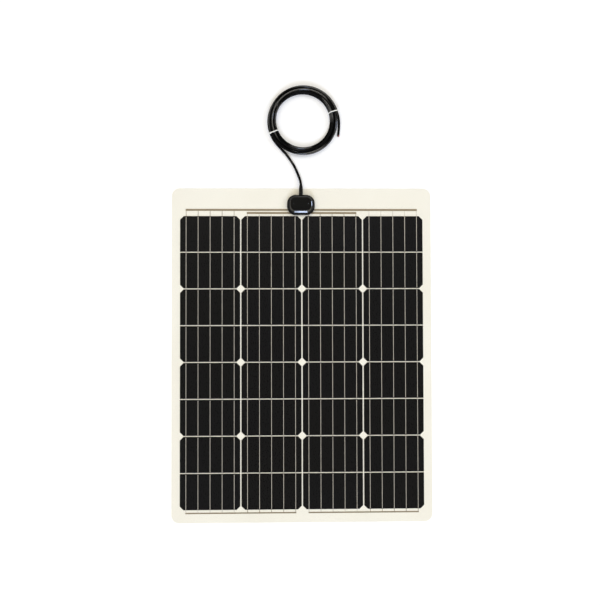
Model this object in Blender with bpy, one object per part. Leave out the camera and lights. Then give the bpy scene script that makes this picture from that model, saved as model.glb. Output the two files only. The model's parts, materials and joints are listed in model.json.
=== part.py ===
"""Frameless semi-flexible solar panel: laminate, cell strings, junction box and a tied coil of lead.

The panel lies face up on the plane z = 0. X runs across it, +Y points to the edge with the junction box.
"""

from math import cos, pi, radians, sin, sqrt

import bmesh
import bpy
import numpy as np
from mathutils import Matrix, Vector

MM = 0.001
SEAT_GAP = 0.3 * MM
LAYER_GAP = 0.05 * MM
WELD = 0.02 * MM
CUT_OVERRUN = 1 * MM
SHARP_ANGLE = 35

# Panel outline and laminate, from the back face up
PANEL_WIDTH = 680 * MM
PANEL_HEIGHT = 872 * MM
PANEL_CORNER = 20 * MM
BACK_SHEET = 1.0 * MM
REAR_ENCAPSULANT = 0.4 * MM
FRONT_ENCAPSULANT = 0.85 * MM
FRONT_SHEET = 0.25 * MM

# Cell strings
ROWS = 8
COLUMNS = 4
CELL_WIDTH = 156.75 * MM
CELL_HEIGHT = 93.6 * MM
COLUMN_PITCH = 160 * MM
ROW_PITCH = 96 * MM
TOP_MARGIN = 72.7 * MM
CELL_CHAMFER = 9.5 * MM
WAFER = 0.18 * MM
RIBBONS_PER_CELL = 5
RIBBON_WIDTH = 1.2 * MM
RIBBON_THICKNESS = 0.15 * MM
RIBBON_INSET = 1.5 * MM
RIBBON_UNDERLAP = 4 * MM
RIBBON_SINK = RIBBON_THICKNESS / 4
RIBBON_STEP_START = 0.2 * MM
RIBBON_STEP_RUN = 1.1 * MM
RIBBON_STEP_LEAN = 0.1 * MM
POCKET_MARGIN = 1 * MM

# Bus ribbons, measured from the nearest cell edge to the ribbon's middle
BUS_WIDTH = 5 * MM
BOTTOM_BUS_WIDTH = 3 * MM
BUS_THICKNESS = 0.25 * MM
OUTER_BUS_OFFSET = 16.5 * MM
INNER_BUS_OFFSET = 8.3 * MM
BOTTOM_BUS_OFFSET = 8.5 * MM
BUS_END = 1.2 * MM
BUS_LEG_WIDTH = 4 * MM
OUTER_LEG_X = 15 * MM
INNER_LEG_X = 4.2 * MM
BUS_FOLD = 6 * MM

# Junction box, in its own frame with +Y towards the cable
BOX_X = -2 * MM
BOX_FROM_TOP = 44 * MM
BOX_WIDTH = 72.5 * MM
BOX_DEPTH = 52.5 * MM
BOX_CORNER = 22 * MM
BOX_TOP = 20.5 * MM
BOX_PAD = 0.5 * MM
BOX_FLOOR = 1.2 * MM
BOX_WALL = 3.0 * MM
RIM_LAND = 1.5 * MM
RIM_HEIGHT = 6.05 * MM
LEDGE_DROP = 2.4 * MM
SLOT_WIDTH = 41 * MM
SLOT_DEPTH = 4 * MM
SLOT_Y = -8 * MM
SLOT_CORNER = 1 * MM
PAD_INSET = 1 * MM
FOOT_INSET = 0.4 * MM
FOOT_RISE = 0.6 * MM
RIM_CHAMFER = 0.3 * MM
RIM_CHAMFER_DROP = 0.5 * MM
RIB_WIDTH = 1 * MM
RIB_SINK = 0.2 * MM
NOTCH_STEPS = 16
NOTCH_MARGIN = 2 * MM
LID_EDGE_INSET = 0.3 * MM
LID_SHOULDER_X = 12 * MM
LID_SHOULDER_Y = 12.75 * MM
LID_SHOULDER_START = 1.4 * MM
LID_SHOULDER_POWER = 4 / 3
LID_TOP_SHIFT = 2.8 * MM
LID_WALL = 2.2 * MM
LID_OUTER_STEPS = 8
LID_INNER_STEPS = 5
LID_PANEL_BORDER = 1.2 * MM
LID_PANEL_BEVEL = 0.4 * MM
LID_PANEL_DEPTH = 0.4 * MM
LID_DIMPLE_RADIUS = 2.6 * MM
LID_DIMPLE_FLOOR = 1.8 * MM
LID_DIMPLE_DEPTH = 0.5 * MM
LID_DIMPLE_CUT = 0.8 * MM
LID_DIMPLE_X = 19 * MM
LIP = 1.0 * MM
LIP_ROOT_DROP = 0.2 * MM
SEAL_HEIGHT = 0.9 * MM

# Terminals, diodes and cores in the box
TERMINAL_THICKNESS = 0.8 * MM
TERMINAL_LOW_Y = -5 * MM
TERMINAL_HIGH_Y = 13 * MM
OUTER_TERMINAL = (10.5 * MM, 20.5 * MM)
MIDDLE_TERMINAL = (-7.5 * MM, 7.5 * MM)
FORK_X = 18.5 * MM
FORK_WIDTH = 6 * MM
FORK_RISE = 5.6 * MM
FORK_SINK = 0.6 * MM
FORK_NOTCH_STEPS = 8
DIODE_RADIUS = 3.75 * MM
DIODE_LENGTH = 9 * MM
DIODE_X = 9.25 * MM
DIODE_Y = 5 * MM
DIODE_LIFT = 0.5 * MM
DIODE_CHAMFER = 0.5 * MM
DIODE_LEAD_RADIUS = 0.65 * MM
DIODE_LEAD_OVERRUN = 1.2 * MM
DIODE_SIDES = 16
CORE_RADIUS = 1.3 * MM
CORE_SPACING = 3 * MM
CORE_STEP = 3.1 * MM

# Cable, strain relief and coil
CABLE_RADIUS = 3.25 * MM
CABLE_Z = 9.5 * MM
SHEATH_END_Y = 19 * MM
SLEEVE_RADIUS = 5 * MM
SLEEVE_TIP_RADIUS = 4.1 * MM
SLEEVE_END_Y = 51 * MM
SLEEVE_TAPER = 7 * MM
SLEEVE_TIP_CHAMFER = 0.3 * MM
SLEEVE_TIP_LAND = 0.5 * MM
SLEEVE_SIDES = 18
FLANGE_RADIUS = 7 * MM
FLANGE_THICKNESS = 1.6 * MM
FLANGE_SETBACK = 1.2 * MM
FLANGE_FLAT = 3.8 * MM
COIL_CENTRE = (4.4 * MM, 613.1 * MM)
COIL_INNER_RADIUS = 72.5 * MM
COIL_PITCH = 7.1 * MM
COIL_LAYER_GAP = 0.5 * MM
COIL_LEAD_IN = 2.4 * CABLE_RADIUS
COIL_START_ANGLE = 222
COIL_STEPS = 134
STEPS_PER_LOOP = 24
REVERSAL_TURNS = 0.08
CLIMB_TURNS = 0.5
TAIL_FIRST_STEP = 130
TAIL_DROP = 1.2 * MM
TIE_ANGLES = {"left": 201.0, "right": 17.3}
TIE_WIDTH = 2.6 * MM
TIE_THICKNESS = 0.8 * MM
TIE_HEAD = (3.2 * MM, 4.4 * MM, 4.2 * MM)
TIE_HEAD_LEAN = 26
TIE_OUTLINE_STEPS = 32
TIE_STUB_WIDTH = 2.3 * MM
TIE_STUB_LIFT = 1.4 * MM
TIE_STUB_LENGTH = 3 * MM
TIE_STUB_SINK = 0.5 * MM
CORE_END_LENGTH = 3 * MM
TUBE_SPACING = 4 * CABLE_RADIUS
SPLINE_STEPS = 40
GAP_SAMPLE = 1.5 * MM
GAP_SKIP = 6 * CABLE_RADIUS

# Routes chosen by hand: a core's in the box, on its own side and back from the sheath's end to the terminal
CORE_ROUTE = [
    Vector((1.5, -0.3, 2.35)) * MM,
    Vector((1.5, -1.8, 2.35)) * MM,
    Vector((1.5, -3.0, 2.35)) * MM,
    Vector((4.2, -5.0, 2.35)) * MM,
    Vector((8.6, -6.4, 1.75)) * MM,
    Vector((12.6, -7.3, 0.5)) * MM,
    Vector((16.0, -7.7, 0.0)) * MM,
    Vector((19.0, -7.9, 0.0)) * MM,
]
# The lead's route over the floor, and the tail's
LEAD_ROUTE = [
    Vector((-2.0, 411.0, 9.5)) * MM,
    Vector((-2.0, 426.0, 9.5)) * MM,
    Vector((-2.0, 443.0, 9.5)) * MM,
    Vector((-2.8, 452.0, 9.2)) * MM,
    Vector((-6.0, 463.0, 7.0)) * MM,
    Vector((-9.9, 474.0, 4.6)) * MM,
    Vector((-14.6, 485.0, 3.6)) * MM,
    Vector((-20.9, 498.0, 3.4)) * MM,
    Vector((-29.6, 511.0, 3.5)) * MM,
    Vector((-39.2, 524.5, 3.9)) * MM,
]
TAIL_ROUTE = [
    Vector((96.8, 623.8, 9.1)) * MM,
    Vector((98.6, 613.4, 6.6)) * MM,
    Vector((98.7, 603.0, 4.6)) * MM,
    Vector((98.4, 593.0, 3.6)) * MM,
    Vector((97.6, 585.0, 3.4)) * MM,
    Vector((96.9, 577.0, 3.4)) * MM,
]

# Heights that follow from the layers
BACK_TOP = BACK_SHEET
REAR_LOW = BACK_TOP + LAYER_GAP
REAR_TOP = REAR_LOW + REAR_ENCAPSULANT
TAIL_LOW = REAR_TOP + LAYER_GAP
TAIL_TOP = TAIL_LOW + RIBBON_THICKNESS
WAFER_LOW = TAIL_TOP + LAYER_GAP
WAFER_TOP = WAFER_LOW + WAFER
RIBBON_TOP = WAFER_TOP + RIBBON_THICKNESS
POCKET_TOP = RIBBON_TOP + LAYER_GAP
FRONT_LOW = REAR_TOP + LAYER_GAP
FRONT_TOP = FRONT_LOW + FRONT_ENCAPSULANT
SHEET_LOW = FRONT_TOP + LAYER_GAP
PANEL_TOP = SHEET_LOW + FRONT_SHEET
PAD_LOW = PANEL_TOP + LAYER_GAP
PAD_TOP = PAD_LOW + BOX_PAD
BASE_LOW = PAD_TOP + LAYER_GAP
FLOOR_TOP = BASE_LOW + BOX_FLOOR
RIM_TOP = BASE_LOW + RIM_HEIGHT
LEDGE_TOP = RIM_TOP - LEDGE_DROP
SEAL_LOW = LEDGE_TOP + LAYER_GAP
LIP_LOW = SEAL_LOW + SEAL_HEIGHT + SEAT_GAP
LID_LOW = RIM_TOP + SEAT_GAP
TERMINAL_LOW = FLOOR_TOP + SEAT_GAP
TERMINAL_TOP = TERMINAL_LOW + TERMINAL_THICKNESS
DIODE_Z = TERMINAL_TOP + DIODE_LIFT + DIODE_RADIUS
CELLS_TOP = PANEL_HEIGHT / 2 - TOP_MARGIN
CELLS_BOTTOM = CELLS_TOP - (ROWS - 1) * ROW_PITCH - CELL_HEIGHT
BOX_Y = PANEL_HEIGHT / 2 - BOX_FROM_TOP
COIL_FLOOR_Z = LAYER_GAP + TIE_THICKNESS + SEAT_GAP + CABLE_RADIUS
LAYER_RISE = 2 * CABLE_RADIUS + COIL_LAYER_GAP


def srgb(red, green, blue):
    """Turns a colour of 0 to 255 per channel into Blender's linear values."""
    linear = []
    for level in (red, green, blue):
        share = level / 255
        linear.append(share / 12.92 if share <= 0.04045 else ((share + 0.055) / 1.055) ** 2.4)
    return (*linear, 1.0)


def make_material(name, colour, roughness, metallic=0.0, alpha=1.0):
    """Makes a Principled material."""
    material = bpy.data.materials.new(name)
    material.use_nodes = True
    shader = material.node_tree.nodes["Principled BSDF"]
    shader.inputs["Base Color"].default_value = colour
    shader.inputs["Roughness"].default_value = roughness
    shader.inputs["Metallic"].default_value = metallic
    shader.inputs["Alpha"].default_value = alpha
    return material


def shade(mesh):
    """Shades round sides smooth and keeps the sharp edges."""
    mesh.shade_smooth()
    mesh.set_sharp_from_angle(angle=radians(SHARP_ANGLE))


def make_object(name, bm, material):
    """Turns a bmesh into a named object with outward faces and smooth round sides."""
    bmesh.ops.recalc_face_normals(bm, faces=bm.faces)
    mesh = bpy.data.meshes.new(name)
    bm.to_mesh(mesh)
    bm.free()
    mesh.materials.append(material)
    shade(mesh)
    obj = bpy.data.objects.new(name, mesh)
    bpy.context.collection.objects.link(obj)
    return obj


def make_empty(name, location):
    """Adds an empty that carries a group of pieces."""
    empty = bpy.data.objects.new(name, None)
    empty.location = location
    bpy.context.collection.objects.link(empty)
    return empty


def combine(target, tool, operation):
    """Cuts or joins a tool into a target and removes the tool."""
    modifier = target.modifiers.new("combine", "BOOLEAN")
    modifier.operation = operation
    modifier.solver = "EXACT"
    modifier.object = tool
    depsgraph = bpy.context.evaluated_depsgraph_get()
    mesh = bpy.data.meshes.new_from_object(target.evaluated_get(depsgraph))
    target.modifiers.clear()
    shade(mesh)
    target.data = mesh
    bpy.data.objects.remove(tool)


def rounded_rectangle(width, height, radius, centre=(0.0, 0.0), corner_steps=7):
    """Outline of a rectangle with round corners, anticlockwise, as (x, y) points."""
    points = []
    for corner in range(4):
        side_x = 1 if corner in (0, 3) else -1
        side_y = 1 if corner in (0, 1) else -1
        middle_x = centre[0] + side_x * (width / 2 - radius)
        middle_y = centre[1] + side_y * (height / 2 - radius)
        for step in range(corner_steps + 1):
            angle = (corner + step / corner_steps) * pi / 2
            points.append((middle_x + radius * cos(angle), middle_y + radius * sin(angle)))
    return points


def rectangle(low_x, high_x, low_y, high_y):
    """Outline of a plain rectangle as (x, y) points."""
    return [(low_x, low_y), (high_x, low_y), (high_x, high_y), (low_x, high_y)]


def add_prism(bm, polygon, sweep):
    """Adds a closed prism: a flat polygon of 3-D points swept along a vector."""
    low = [bm.verts.new(point) for point in polygon]
    high = [bm.verts.new(Vector(point) + sweep) for point in polygon]
    bm.faces.new(low[::-1])
    bm.faces.new(high)
    for index in range(len(polygon)):
        bm.faces.new((low[index - 1], low[index], high[index], high[index - 1]))


def plate(name, outline, low, high, material):
    """A flat plate from an (x, y) outline."""
    bm = bmesh.new()
    add_prism(bm, [(x, y, low) for x, y in outline], Vector((0, 0, high - low)))
    return make_object(name, bm, material)


def add_strip(bm, profile, low_x, high_x):
    """Adds a strip whose side profile, in (y, z), runs across from low_x to high_x."""
    add_prism(bm, [(low_x, y, z) for y, z in profile], Vector((high_x - low_x, 0, 0)))


def loft(name, rings, material):
    """A closed solid through rings of equal point count, capped at both ends."""
    bm = bmesh.new()
    loops = [[bm.verts.new(point) for point in ring] for ring in rings]
    for below, above in zip(loops, loops[1:]):
        for index in range(len(below)):
            bm.faces.new((below[index - 1], below[index], above[index], above[index - 1]))
    bm.faces.new(loops[0][::-1])
    bm.faces.new(loops[-1])
    return make_object(name, bm, material)


def ring_plate(name, outer, inner, low, high, material):
    """A flat ring between two outlines of equal point count."""
    bm = bmesh.new()
    loops = []
    for outline, height in ((outer, low), (outer, high), (inner, high), (inner, low)):
        loops.append([bm.verts.new((x, y, height)) for x, y in outline])
    bridge(bm, loops)
    return make_object(name, bm, material)


def bridge(bm, loops):
    """Joins loops of equal point count into a closed ring of faces."""
    for turn in range(len(loops)):
        first = loops[turn - 1]
        second = loops[turn]
        for index in range(len(first)):
            bm.faces.new((first[index - 1], first[index], second[index], second[index - 1]))


def lathe(name, profile, steps, material):
    """A turned solid about Z from a closed profile of (radius, height) points."""
    bm = bmesh.new()
    verts = [bm.verts.new((radius, 0, height)) for radius, height in profile]
    edges = [bm.edges.new((verts[index - 1], verts[index])) for index in range(len(verts))]
    bmesh.ops.spin(
        bm, geom=verts + edges, cent=(0, 0, 0), axis=(0, 0, 1), angle=2 * pi, steps=steps, use_merge=True
    )
    bmesh.ops.remove_doubles(bm, verts=bm.verts, dist=1e-7)
    bmesh.ops.dissolve_degenerate(bm, edges=bm.edges, dist=1e-7)
    return make_object(name, bm, material)


def tube(name, points, radius, bevel_resolution, material):
    """A round tube with filled ends along a line of points."""
    curve = bpy.data.curves.new(name, "CURVE")
    curve.dimensions = "3D"
    curve.bevel_depth = radius
    curve.bevel_resolution = bevel_resolution
    curve.use_fill_caps = True
    spline = curve.splines.new("POLY")
    spline.points.add(len(points) - 1)
    for target, point in zip(spline.points, points):
        target.co = (*point, 1.0)
    curve.materials.append(material)
    obj = bpy.data.objects.new(name, curve)
    bpy.context.collection.objects.link(obj)
    return obj


def smooth_path(route, spacing):
    """Points at an even spacing on a smooth curve through a route."""
    fine = []
    ends = [route[0] * 2 - route[1], *route, route[-1] * 2 - route[-2]]
    for before, start, end, after in zip(ends, ends[1:], ends[2:], ends[3:]):
        for step in range(SPLINE_STEPS):
            fine.append(catmull_rom(before, start, end, after, step / SPLINE_STEPS))
    fine.append(route[-1])
    lengths = [0.0]
    for first, second in zip(fine, fine[1:]):
        lengths.append(lengths[-1] + (second - first).length)
    count = round(lengths[-1] / spacing)
    targets = np.linspace(0.0, lengths[-1], count + 1)
    columns = [np.interp(targets, lengths, [point[axis] for point in fine]) for axis in range(3)]
    return [Vector(point) for point in zip(*columns)]


def catmull_rom(before, start, end, after, share):
    """A point on the smooth curve between start and end."""
    pull = (end - before) * share
    bend = (before * 2 - start * 5 + end * 4 - after) * share ** 2
    twist = (start * 3 - before - end * 3 + after) * share ** 3
    return start + (pull + bend + twist) / 2


def cell_x(column):
    """Middle of a column of cells."""
    return (column - (COLUMNS - 1) / 2) * COLUMN_PITCH


def cell_y(row):
    """Middle of a row of cells."""
    return CELLS_TOP - CELL_HEIGHT / 2 - row * ROW_PITCH


def ribbon_xs():
    """Places of the tabbing ribbons across a cell."""
    pitch = CELL_WIDTH / RIBBONS_PER_CELL
    return [(index - (RIBBONS_PER_CELL - 1) / 2) * pitch for index in range(RIBBONS_PER_CELL)]


def build_laminate(white, clear, film):
    """Back sheet, both encapsulant sheets and the front film."""
    outline = rounded_rectangle(PANEL_WIDTH, PANEL_HEIGHT, PANEL_CORNER)
    plate("back_sheet", outline, 0.0, BACK_TOP, white)
    plate("rear_encapsulant", outline, REAR_LOW, REAR_TOP, clear)

    front = plate("front_encapsulant", outline, FRONT_LOW, FRONT_TOP, clear)
    pocket_top = CELLS_TOP + OUTER_BUS_OFFSET + BUS_WIDTH
    pocket_bottom = CELLS_BOTTOM - BOTTOM_BUS_OFFSET - BOTTOM_BUS_WIDTH
    pocket_side = cell_x(COLUMNS - 1) + CELL_WIDTH / 2 + POCKET_MARGIN
    pocket = rectangle(-pocket_side, pocket_side, pocket_bottom, pocket_top)
    window = slot_outline(BOX_X, BOX_Y + SLOT_Y)
    combine(front, plate("pocket", pocket, FRONT_LOW - CUT_OVERRUN, POCKET_TOP, clear), "DIFFERENCE")
    combine(front, plate("window", window, 0.0, PANEL_TOP + CUT_OVERRUN, clear), "DIFFERENCE")

    sheet = plate("front_sheet", outline, SHEET_LOW, PANEL_TOP, film)
    combine(sheet, plate("window", window, 0.0, PANEL_TOP + CUT_OVERRUN, film), "DIFFERENCE")


def slot_outline(middle_x, middle_y):
    """Outline of the slot through which the bus ribbons rise into the box."""
    return rounded_rectangle(SLOT_WIDTH, SLOT_DEPTH, SLOT_CORNER, (middle_x, middle_y), corner_steps=3)


def build_cell(row, column, silicon):
    """One wafer with its front ribbons, which step down under the next cell or run on to a bus."""
    direction = -1 if column % 2 == 0 else 1
    chamfer_side = 1 if row % 2 == 0 else -1
    half_x = CELL_WIDTH / 2
    half_y = CELL_HEIGHT / 2
    outline = [
        (-half_x, -half_y),
        (half_x, -half_y),
        (half_x, half_y - CELL_CHAMFER),
        (half_x - CELL_CHAMFER, half_y),
        (CELL_CHAMFER - half_x, half_y),
        (-half_x, half_y - CELL_CHAMFER),
    ]
    outline = [(x, y * chamfer_side) for x, y in outline]
    cell = plate(f"cell_row{row + 1}_column{column + 1}", outline, WAFER_LOW, WAFER_TOP, silicon)

    tail = ROW_PITCH - CELL_HEIGHT + RIBBON_UNDERLAP
    if row == ROWS - 1 and direction < 0:
        tail = BOTTOM_BUS_OFFSET - BOTTOM_BUS_WIDTH / 2 - SEAT_GAP
    if row == 0 and direction > 0:
        bus_offset = INNER_BUS_OFFSET if column == 1 else OUTER_BUS_OFFSET
        tail = bus_offset - BUS_WIDTH / 2 - SEAT_GAP
    step_start = half_y + RIBBON_STEP_START
    step_end = step_start + RIBBON_STEP_RUN
    profile = [
        (RIBBON_INSET - half_y, RIBBON_TOP),
        (RIBBON_INSET - half_y, WAFER_TOP - RIBBON_SINK),
        (step_start, WAFER_TOP - RIBBON_SINK),
        (step_end, TAIL_LOW),
        (half_y + tail, TAIL_LOW),
        (half_y + tail, TAIL_TOP),
        (step_end + RIBBON_STEP_LEAN, TAIL_TOP),
        (step_start + RIBBON_STEP_LEAN, RIBBON_TOP),
    ]
    profile = [(y * direction, z) for y, z in profile]
    bm = bmesh.new()
    for x in ribbon_xs():
        add_strip(bm, profile, x - RIBBON_WIDTH / 2, x + RIBBON_WIDTH / 2)
    combine(cell, make_object("ribbons", bm, silicon), "UNION")
    cell.location = (cell_x(column), cell_y(row), 0.0)


def build_bus(name, y, reach, tab_column, tab_side, leg_x, metal):
    """One bus ribbon with any tabs under a column's end cells and any leg that rises into the box."""
    width = BUS_WIDTH if tab_side > 0 else BOTTOM_BUS_WIDTH
    outline = rectangle(*reach, y - width / 2, y + width / 2)
    bar = plate(name, outline, TAIL_LOW, TAIL_LOW + BUS_THICKNESS, metal)
    if tab_column is not None:
        edge = CELLS_TOP if tab_side > 0 else CELLS_BOTTOM
        tab_ends = sorted((edge - tab_side * RIBBON_UNDERLAP, y))
        bm = bmesh.new()
        for x in ribbon_xs():
            low_x = cell_x(tab_column) + x - RIBBON_WIDTH / 2
            tab = rectangle(low_x, low_x + RIBBON_WIDTH, *tab_ends)
            floor = [(corner_x, corner_y, TAIL_LOW + WELD) for corner_x, corner_y in tab]
            add_prism(bm, floor, Vector((0, 0, RIBBON_THICKNESS - WELD)))
        combine(bar, make_object("tabs", bm, metal), "UNION")
    if leg_x is not None:
        flat_low = TAIL_LOW - WELD
        flat_top = TAIL_LOW + BUS_THICKNESS + WELD
        fold_low = TERMINAL_TOP + SEAT_GAP
        fold_top = fold_low + BUS_THICKNESS
        rise = BOX_Y + SLOT_Y
        profile = [
            (y, flat_low),
            (rise + BUS_THICKNESS, flat_low),
            (rise + BUS_THICKNESS, fold_low),
            (rise + BUS_THICKNESS + BUS_FOLD, fold_low),
            (rise + BUS_THICKNESS + BUS_FOLD, fold_top),
            (rise, fold_top),
            (rise, flat_top),
            (y, flat_top),
        ]
        bm = bmesh.new()
        add_strip(bm, profile, leg_x - BUS_LEG_WIDTH / 2, leg_x + BUS_LEG_WIDTH / 2)
        combine(bar, make_object("leg", bm, metal), "UNION")


def build_buses(metal):
    """The four bus ribbons above the cells and the two below them."""
    ribbons = ribbon_xs()
    first = ribbons[0] - BUS_END
    last = ribbons[-1] + BUS_END
    outer_y = CELLS_TOP + OUTER_BUS_OFFSET
    inner_y = CELLS_TOP + INNER_BUS_OFFSET
    bottom_y = CELLS_BOTTOM - BOTTOM_BUS_OFFSET
    leg_half = BUS_LEG_WIDTH / 2 - WELD
    outer_leg = (BOX_X - OUTER_LEG_X, BOX_X + OUTER_LEG_X)
    inner_leg = (BOX_X - INNER_LEG_X, BOX_X + INNER_LEG_X)
    outer_left = (cell_x(0) + first, outer_leg[0] + leg_half)
    inner_left = (cell_x(1) + first, inner_leg[0] + leg_half)
    inner_right = (inner_leg[1] - leg_half, cell_x(2) + last)
    outer_right = (outer_leg[1] - leg_half, cell_x(3) + last)
    bottom_left = (cell_x(0) + first, cell_x(1) + last)
    bottom_right = (cell_x(2) + first, cell_x(3) + last)
    build_bus("bus_ribbon_outer_left", outer_y, outer_left, 0, 1, outer_leg[0], metal)
    build_bus("bus_ribbon_inner_left", inner_y, inner_left, None, 1, inner_leg[0], metal)
    build_bus("bus_ribbon_inner_right", inner_y, inner_right, 2, 1, inner_leg[1], metal)
    build_bus("bus_ribbon_outer_right", outer_y, outer_right, None, 1, outer_leg[1], metal)
    build_bus("bus_ribbon_bottom_left", bottom_y, bottom_left, 1, -1, None, metal)
    build_bus("bus_ribbon_bottom_right", bottom_y, bottom_right, 3, -1, None, metal)


def box_outline(inset_x, inset_y=None, shift=0.0):
    """Box outline drawn in by the given insets."""
    inset_y = inset_x if inset_y is None else inset_y
    radius = BOX_CORNER - max(inset_x, inset_y)
    return rounded_rectangle(BOX_WIDTH - 2 * inset_x, BOX_DEPTH - 2 * inset_y, radius, (0.0, shift))


def box_ring(inset, height):
    """Box outline as a ring of 3-D points."""
    return [(x, y, height) for x, y in box_outline(inset)]


def cable_notch(material, open_to=None):
    """Cutter for the round notch round the sleeve, run down to a height where the lid lifts off it."""
    radius = SLEEVE_RADIUS + SEAT_GAP
    profile = []
    for step in range(NOTCH_STEPS + 1):
        angle = pi * step / NOTCH_STEPS
        profile.append((radius * cos(angle), CABLE_Z + radius * sin(angle)))
    if open_to is not None:
        profile += [(-radius, open_to), (radius, open_to)]
    else:
        profile += [(-x, 2 * CABLE_Z - z) for x, z in profile[1:-1]]
    bm = bmesh.new()
    low_y = BOX_DEPTH / 2 - BOX_WALL - NOTCH_MARGIN
    add_prism(bm, [(x, low_y, z) for x, z in profile], Vector((0, BOX_WALL + 2 * NOTCH_MARGIN, 0)))
    return make_object("notch", bm, material)


def build_box_base(black):
    """Base tray: floor with the ribbon slot, a stepped rim for the seal and the cable notch's lower half."""
    rings = [
        box_ring(FOOT_INSET, BASE_LOW),
        box_ring(0.0, BASE_LOW + FOOT_RISE),
        box_ring(0.0, RIM_TOP - RIM_CHAMFER_DROP),
        box_ring(RIM_CHAMFER, RIM_TOP),
        box_ring(RIM_LAND, RIM_TOP),
        box_ring(RIM_LAND, LEDGE_TOP),
        box_ring(BOX_WALL, LEDGE_TOP),
        box_ring(BOX_WALL, FLOOR_TOP),
    ]
    base = loft("junction_box_base", rings, black)
    bm = bmesh.new()
    for side in (-1, 1):
        middle = side * (OUTER_TERMINAL[0] + MIDDLE_TERMINAL[1]) / 2
        rib = rectangle(middle - RIB_WIDTH / 2, middle + RIB_WIDTH / 2, TERMINAL_LOW_Y, TERMINAL_HIGH_Y)
        rib_low = FLOOR_TOP - RIB_SINK
        add_prism(bm, [(x, y, rib_low) for x, y in rib], Vector((0, 0, TERMINAL_TOP - rib_low)))
    combine(base, make_object("ribs", bm, black), "UNION")
    slot = plate("slot", slot_outline(0.0, SLOT_Y), BASE_LOW - CUT_OVERRUN, FLOOR_TOP + CUT_OVERRUN, black)
    combine(base, slot, "DIFFERENCE")
    combine(base, cable_notch(black), "DIFFERENCE")
    return base


def lid_shoulder(wall, steps):
    """Rings of the lid's sloped shoulder with its round edges, from the side wall up to the flat top."""
    rings = []
    start = LID_LOW + LID_SHOULDER_START
    rise = BOX_TOP - wall - start
    for step in range(steps + 1):
        angle = pi / 2 * step / steps
        draw_in = 1 - max(cos(angle), 0.0) ** LID_SHOULDER_POWER
        height = start + rise * sin(angle) ** LID_SHOULDER_POWER
        edge = LID_EDGE_INSET + wall
        inset_x = edge + LID_SHOULDER_X * draw_in
        inset_y = edge + LID_SHOULDER_Y * draw_in
        outline = box_outline(inset_x, inset_y, LID_TOP_SHIFT * draw_in)
        rings.append([(x, y, height) for x, y in outline])
    return rings


def lid_top_ring(border, height):
    """Ring on the lid's flat top, drawn in by a border."""
    edge = LID_EDGE_INSET + border
    outline = box_outline(edge + LID_SHOULDER_X, edge + LID_SHOULDER_Y, LID_TOP_SHIFT)
    return [(x, y, height) for x, y in outline]


def build_box_lid(black):
    """Domed lid as one shell: inner roof, locating lip, sloped shoulder, sunk top panel and two dimples."""
    lip_inner = RIM_LAND + SEAT_GAP + LIP
    rings = lid_shoulder(LID_WALL, LID_INNER_STEPS)[::-1]
    rings.append(box_ring(lip_inner, LID_LOW + LID_SHOULDER_START - LIP_ROOT_DROP))
    rings.append(box_ring(lip_inner, LIP_LOW))
    rings.append(box_ring(RIM_LAND + SEAT_GAP, LIP_LOW))
    rings.append(box_ring(RIM_LAND + SEAT_GAP, LID_LOW))
    rings.append(box_ring(LID_EDGE_INSET, LID_LOW))
    rings += lid_shoulder(0.0, LID_OUTER_STEPS)
    rings.append(lid_top_ring(LID_PANEL_BORDER, BOX_TOP))
    rings.append(lid_top_ring(LID_PANEL_BORDER + LID_PANEL_BEVEL, BOX_TOP - LID_PANEL_DEPTH))
    lid = loft("junction_box_lid", rings, black)
    combine(lid, cable_notch(black, LIP_LOW - CUT_OVERRUN), "DIFFERENCE")
    profile = [
        (0.0, 0.0),
        (LID_DIMPLE_FLOOR, 0.0),
        (LID_DIMPLE_RADIUS, LID_DIMPLE_CUT),
        (0.0, LID_DIMPLE_CUT),
    ]
    for x in (-LID_DIMPLE_X, LID_DIMPLE_X):
        dimple = lathe("dimple", profile, 16, black)
        dimple.location = (x, 0.0, BOX_TOP - LID_PANEL_DEPTH - LID_DIMPLE_DEPTH)
        combine(lid, dimple, "DIFFERENCE")
    return lid


def build_terminal(name, span, forks, metal):
    """One terminal plate with upright forks that hold the diode leads."""
    outline = rectangle(*span, TERMINAL_LOW_Y, TERMINAL_HIGH_Y)
    terminal = plate(name, outline, TERMINAL_LOW, TERMINAL_TOP, metal)
    notch = DIODE_LEAD_RADIUS + SEAT_GAP
    half = FORK_WIDTH / 2
    fork_low = TERMINAL_TOP - FORK_SINK
    fork_top = TERMINAL_TOP + FORK_RISE
    profile = [(DIODE_Y - half, fork_low), (DIODE_Y + half, fork_low)]
    profile += [(DIODE_Y + half, fork_top), (DIODE_Y + notch, fork_top)]
    for step in range(FORK_NOTCH_STEPS + 1):
        angle = -pi * step / FORK_NOTCH_STEPS
        profile.append((DIODE_Y + notch * cos(angle), DIODE_Z + notch * sin(angle)))
    profile += [(DIODE_Y - notch, fork_top), (DIODE_Y - half, fork_top)]
    for x in forks:
        bm = bmesh.new()
        add_strip(bm, profile, x - TERMINAL_THICKNESS / 2, x + TERMINAL_THICKNESS / 2)
        combine(terminal, make_object("fork", bm, metal), "UNION")
    return terminal


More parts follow.
